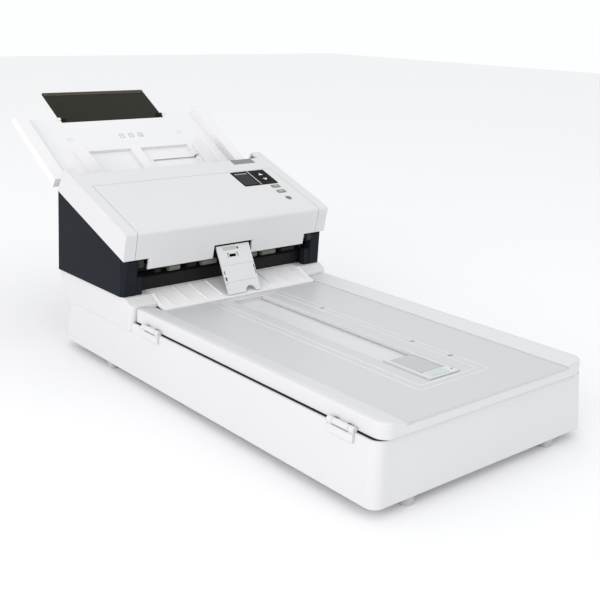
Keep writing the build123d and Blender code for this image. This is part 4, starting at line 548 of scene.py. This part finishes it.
# ------------------------------------------------------------------ exit flap
# A white moulded tongue hangs from the exit and lays the sheets down. It has a grey pad at its
# pivot end, a snap window, moulded cross lines and two open slots near its edges.
pivot = joint_place("exit_flap_lift")
LEAN = radians(62.8)
FLAP_FACE = 0.0075
flap_seat = (
    pivot + FLAP_FACE * Vector((0, -sin(LEAN), cos(LEAN))),
    Vector((1, 0, 0)),
    Vector((0, -cos(LEAN), -sin(LEAN))),
    Vector((0, -sin(LEAN), cos(LEAN))),
)
pad_grey = moulded("pad_grey", (0.50, 0.52, 0.50), (0.44, 0.46, 0.44), 0.5, 900.0, 0.00004)
inlay("flap_pad", [[(-0.019, -0.0015), (0.004, -0.0015), (0.003, 0.0030), (-0.018, 0.0030)]],
      flap_seat, -0.0003, 0.0003, pad_grey, "exit_flap")
dark_slots = [
    rounded((0.0065, 0.0012), (0.0035, 0.0030), 0.0006, 2),
    rounded((-0.0125, 0.0100), (0.0010, 0.0062), 0.0004, 2),
    rounded((0.0045, 0.0100), (0.0010, 0.0062), 0.0004, 2),
    rounded((-0.0112, 0.0074), (0.0030, 0.0009), 0.0004, 2),
    rounded((0.0032, 0.0074), (0.0030, 0.0009), 0.0004, 2),
    rounded((-0.0255, 0.0330), (0.0016, 0.0050), 0.0005, 2),
    rounded((-0.0252, 0.0415), (0.0030, 0.0050), 0.0005, 2),
    rounded((-0.0262, 0.0485), (0.0010, 0.0020), 0.0004, 2),
    rounded((0.0262, 0.0300), (0.0014, 0.0060), 0.0005, 2),
    rounded((0.0265, 0.0375), (0.0012, 0.0070), 0.0005, 2),
]
inlay("flap_slots", dark_slots, flap_seat, -0.0004, 0.00006, dark_ink.material, "exit_flap")
soft_line = Finish("moulded_line", Roughness=0.5)
soft_line.feed("Base Color", soft_line.mixed(soft_line.cloud(500.0), (0.42, 0.42, 0.44), (0.50, 0.50, 0.52)))
FLAP_LINE = (0.0540, 0.0005)
inlay("flap_lines", [rounded((0, along), FLAP_LINE, 0.0002, 2) for along in (0.0235, 0.0465)], flap_seat,
      -0.0002, 0.00005, soft_line.material, "exit_flap")

# ------------------------------------------------------------------ cover controls
# A glossy black window holds the display and two soft keys. Three more buttons and the release
# lever are set in the cover beside it. Their signs are printed.
window = Finish("control_window", Specular_IOR_Level=0.03)
smear = window.cloud(40.0)
window.feed("Base Color", window.mixed(smear, (0.004, 0.004, 0.005), (0.007, 0.007, 0.008)))
window.feed("Roughness", 0.16 + smear * 0.12)
dress(window.material, "control_bezel", "up_key", "down_key")
liquid = Finish("display_glass", Specular_IOR_Level=0.05)
liquid.feed("Base Color", liquid.mixed(liquid.cloud(60.0), (0.020, 0.021, 0.025), (0.026, 0.027, 0.032)))
liquid.feed("Roughness", 0.12 + liquid.cloud(90.0) * 0.08)
dress(liquid.material, "display")
button_grey = moulded("button_grey", (0.24, 0.25, 0.24), (0.19, 0.20, 0.19), 0.42, 1200.0, 0.00003, 0.0004)
dress(button_grey, "scan_button", "mode_button", "release_lever")
lens_grey = moulded("power_lens", (0.20, 0.22, 0.21), (0.16, 0.18, 0.17), 0.25, 1200.0, 0.00002, 0.0004)
dress(lens_grey, "power_button")
FALL = radians(20.7)
SCREEN_ALONG = (0.0801, 0.1131)
screen_low, screen_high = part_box("display")
top_seat = (
    Vector((0, screen_low.y - SCREEN_ALONG[0] * cos(FALL), screen_high.z - SCREEN_ALONG[1] * sin(FALL))),
    Vector((1, 0, 0)),
    Vector((0, cos(FALL), sin(FALL))),
    Vector((0, -sin(FALL), cos(FALL))),
)
sign = Finish("printed_sign", Roughness=0.5, Specular_IOR_Level=0.2)
sign.feed("Base Color", sign.mixed(sign.cloud(900.0), (0.74, 0.75, 0.74), (0.64, 0.65, 0.64)))
KEY_FACE = 0.0005
SIGN_SINK = 0.0002
SIGN_RISE = 0.00012
inlay("up_sign", [[(0.1198, 0.1017), (0.1282, 0.1017), (0.1240, 0.1073)]], top_seat,
      KEY_FACE - SIGN_SINK, KEY_FACE + SIGN_RISE, sign.material, "up_key")
inlay("down_sign", [[(0.1198, 0.0928), (0.1240, 0.0872), (0.1282, 0.0928)]], top_seat,
      KEY_FACE - SIGN_SINK, KEY_FACE + SIGN_RISE, sign.material, "down_key")
BEZEL_FACE = 0.0003
inlay("window_divider", [rounded((0.1072, 0.0966), (0.0013, 0.0385), 0.0004, 2)], top_seat,
      BEZEL_FACE - 0.0003, BEZEL_FACE + 0.0001, sign.material, "cover")
strip_tone = Finish("display_strip", Roughness=0.3)
strip_haze = strip_tone.cloud(300.0)
strip_tone.feed("Base Color", strip_tone.mixed(strip_haze, (0.17, 0.20, 0.22), (0.22, 0.25, 0.27)))
inlay("display_strip", [rounded((0.0914, 0.1103), (0.0235, 0.0028), 0.0006, 2)], top_seat,
      -0.0002, 0.00015, strip_tone.material, "cover")
pale_sign = Finish("button_sign", Roughness=0.5)
pale_sign.feed("Base Color", pale_sign.mixed(pale_sign.cloud(900.0), (0.66, 0.67, 0.67), (0.58, 0.59, 0.59)))
scan_strokes = [
    rounded((0.1270, 0.0690), (0.0060, 0.0008), 0.0003, 2),
    rounded((0.1270, 0.0708), (0.0036, 0.0008), 0.0003, 2),
]
inlay("scan_sign", scan_strokes, top_seat, KEY_FACE - SIGN_SINK, KEY_FACE + SIGN_RISE,
      pale_sign.material, "scan_button")
mode_strokes = [
    rounded((0.1247, 0.0546), (0.0024, 0.0024), 0.0008, 3),
    rounded((0.1285, 0.0546), (0.0036, 0.0008), 0.0003, 2),
]
inlay("mode_sign", mode_strokes, top_seat, KEY_FACE - SIGN_SINK, KEY_FACE + SIGN_RISE,
      pale_sign.material, "mode_button")
POWER_AT = (0.1255, 0.0360)
ARC_STEPS = 10


def arc_points(radius):
    """An open ring round the power button's middle, with its gap at the top."""
    turns = [0.6 + 0.5 * step for step in range(ARC_STEPS + 1)]
    return [(POWER_AT[0] + radius * sin(turn), POWER_AT[1] + radius * cos(turn)) for turn in turns]


stroke = arc_points(0.0021)
inner_stroke = arc_points(0.0015)
arc = [[stroke[i], stroke[i + 1], inner_stroke[i + 1], inner_stroke[i]] for i in range(ARC_STEPS)]
bar_stroke = rounded((POWER_AT[0], 0.0379), (0.0006, 0.0020), 0.0002, 2)
inlay("power_sign", arc + [bar_stroke], top_seat, KEY_FACE - SIGN_SINK, KEY_FACE + SIGN_RISE,
      dark_ink.material, "power_button")

# ------------------------------------------------------------------ input tray and extension
# The tray is a ribbed white moulding with stamped signs between its walls. Its folding extension is
# smoke-dark and has a lighter grip band of fine ribs near the free edge.
smoke = moulded(
    "smoke_plastic", (0.010, 0.0092, 0.005), (0.015, 0.0140, 0.008), 0.42, 700.0, 0.00004, shine=0.1
)
dress(smoke, "tray_extension")
grip_tone = moulded(
    "grip_band", (0.095, 0.088, 0.064), (0.075, 0.070, 0.050), 0.45, 700.0, 0.00004, shine=0.1
)
fold = joint_place("extension_fold")
RISE = radians(31.0)
FOLD_AT = 0.1605
along_path = Vector((0, cos(RISE), sin(RISE)))
off_path = Vector((0, -sin(RISE), cos(RISE)))
path_seat = (fold - FOLD_AT * along_path, Vector((1, 0, 0)), along_path, off_path)
grip = Tree("grip_ribs", length=0.180, breadth=0.0007, height=0.0008, pitch=0.0014)
rib_size = grip.add("ShaderNodeCombineXYZ", {}, {"X": "length", "Y": "breadth", "Z": "height"})
rib = grip.add("GeometryNodeMeshCube", {}, {"Size": rib_size})
step = grip.add("ShaderNodeCombineXYZ", {}, {"Y": "pitch"})
GRIP_RIBS = 5
first_rib = (0, 0.0606, 0.0002)
ribs = grip.add("GeometryNodeMeshLine", {}, {"Count": GRIP_RIBS, "Start Location": first_rib, "Offset": step})
set_ribs = grip.add("GeometryNodeInstanceOnPoints", {}, {"Points": ribs, "Instance": rib})
raised = grip.add(
    "GeometryNodeTransform", {}, {"Geometry": set_ribs, "Translation": tuple(fold), "Rotation": (RISE, 0, 0)}
)
grip.make("extension_grip", raised, grip_tone, "tray_extension", "olive_plastic")
inlay("grip_plate", [rounded((0, FOLD_AT + 0.0636), (0.184, 0.0078), 0.0008, 3)], path_seat, -0.0010, 0.0003,
      grip_tone, "tray_extension")
SIGN_PLACES = (-0.008, 0.009, 0.026)
SIGN_ROW = 0.1130
stamped = []
for middle in SIGN_PLACES:
    outer = rounded((middle, SIGN_ROW), (0.0085, 0.0095), 0.0010, 3)
    inner = rounded((middle, SIGN_ROW), (0.0062, 0.0072), 0.0006, 3)
    count = len(outer)
    stamped += [[outer[i], outer[(i + 1) % count], inner[(i + 1) % count], inner[i]] for i in range(count)]
left, middle, right = SIGN_PLACES
ARROW_HALF = 0.0018
ARROW_RISE = 0.0022
arrow_foot = SIGN_ROW - ARROW_RISE
arrow_tip = (right, SIGN_ROW + ARROW_RISE)
stamped.append([(right - ARROW_HALF, arrow_foot), (right + ARROW_HALF, arrow_foot), arrow_tip])
stamped.append(rounded((middle, SIGN_ROW), (0.0035, 0.0010), 0.0003, 2))
stamped.append(rounded((left, SIGN_ROW + 0.0012), (0.0035, 0.0010), 0.0003, 2))
inlay("tray_signs", stamped, path_seat, -0.0002, 0.00022, soft_line.material, "tray")
BOSS_OUT = 0.100
studs_at = [rounded((side * BOSS_OUT, SIGN_ROW), (0.0100, 0.0100), 0.0048, 6) for side in (-1, 1)]
inlay("tray_bosses", studs_at, path_seat, -0.0002, 0.0004, tray_white_painted_light, "tray")
boss_slots = [rounded((side * BOSS_OUT, SIGN_ROW), (0.0058, 0.0012), 0.0004, 2) for side in (-1, 1)]
inlay("tray_boss_slots", boss_slots, path_seat, 0.0002, 0.00046, soft_line.material, "tray")
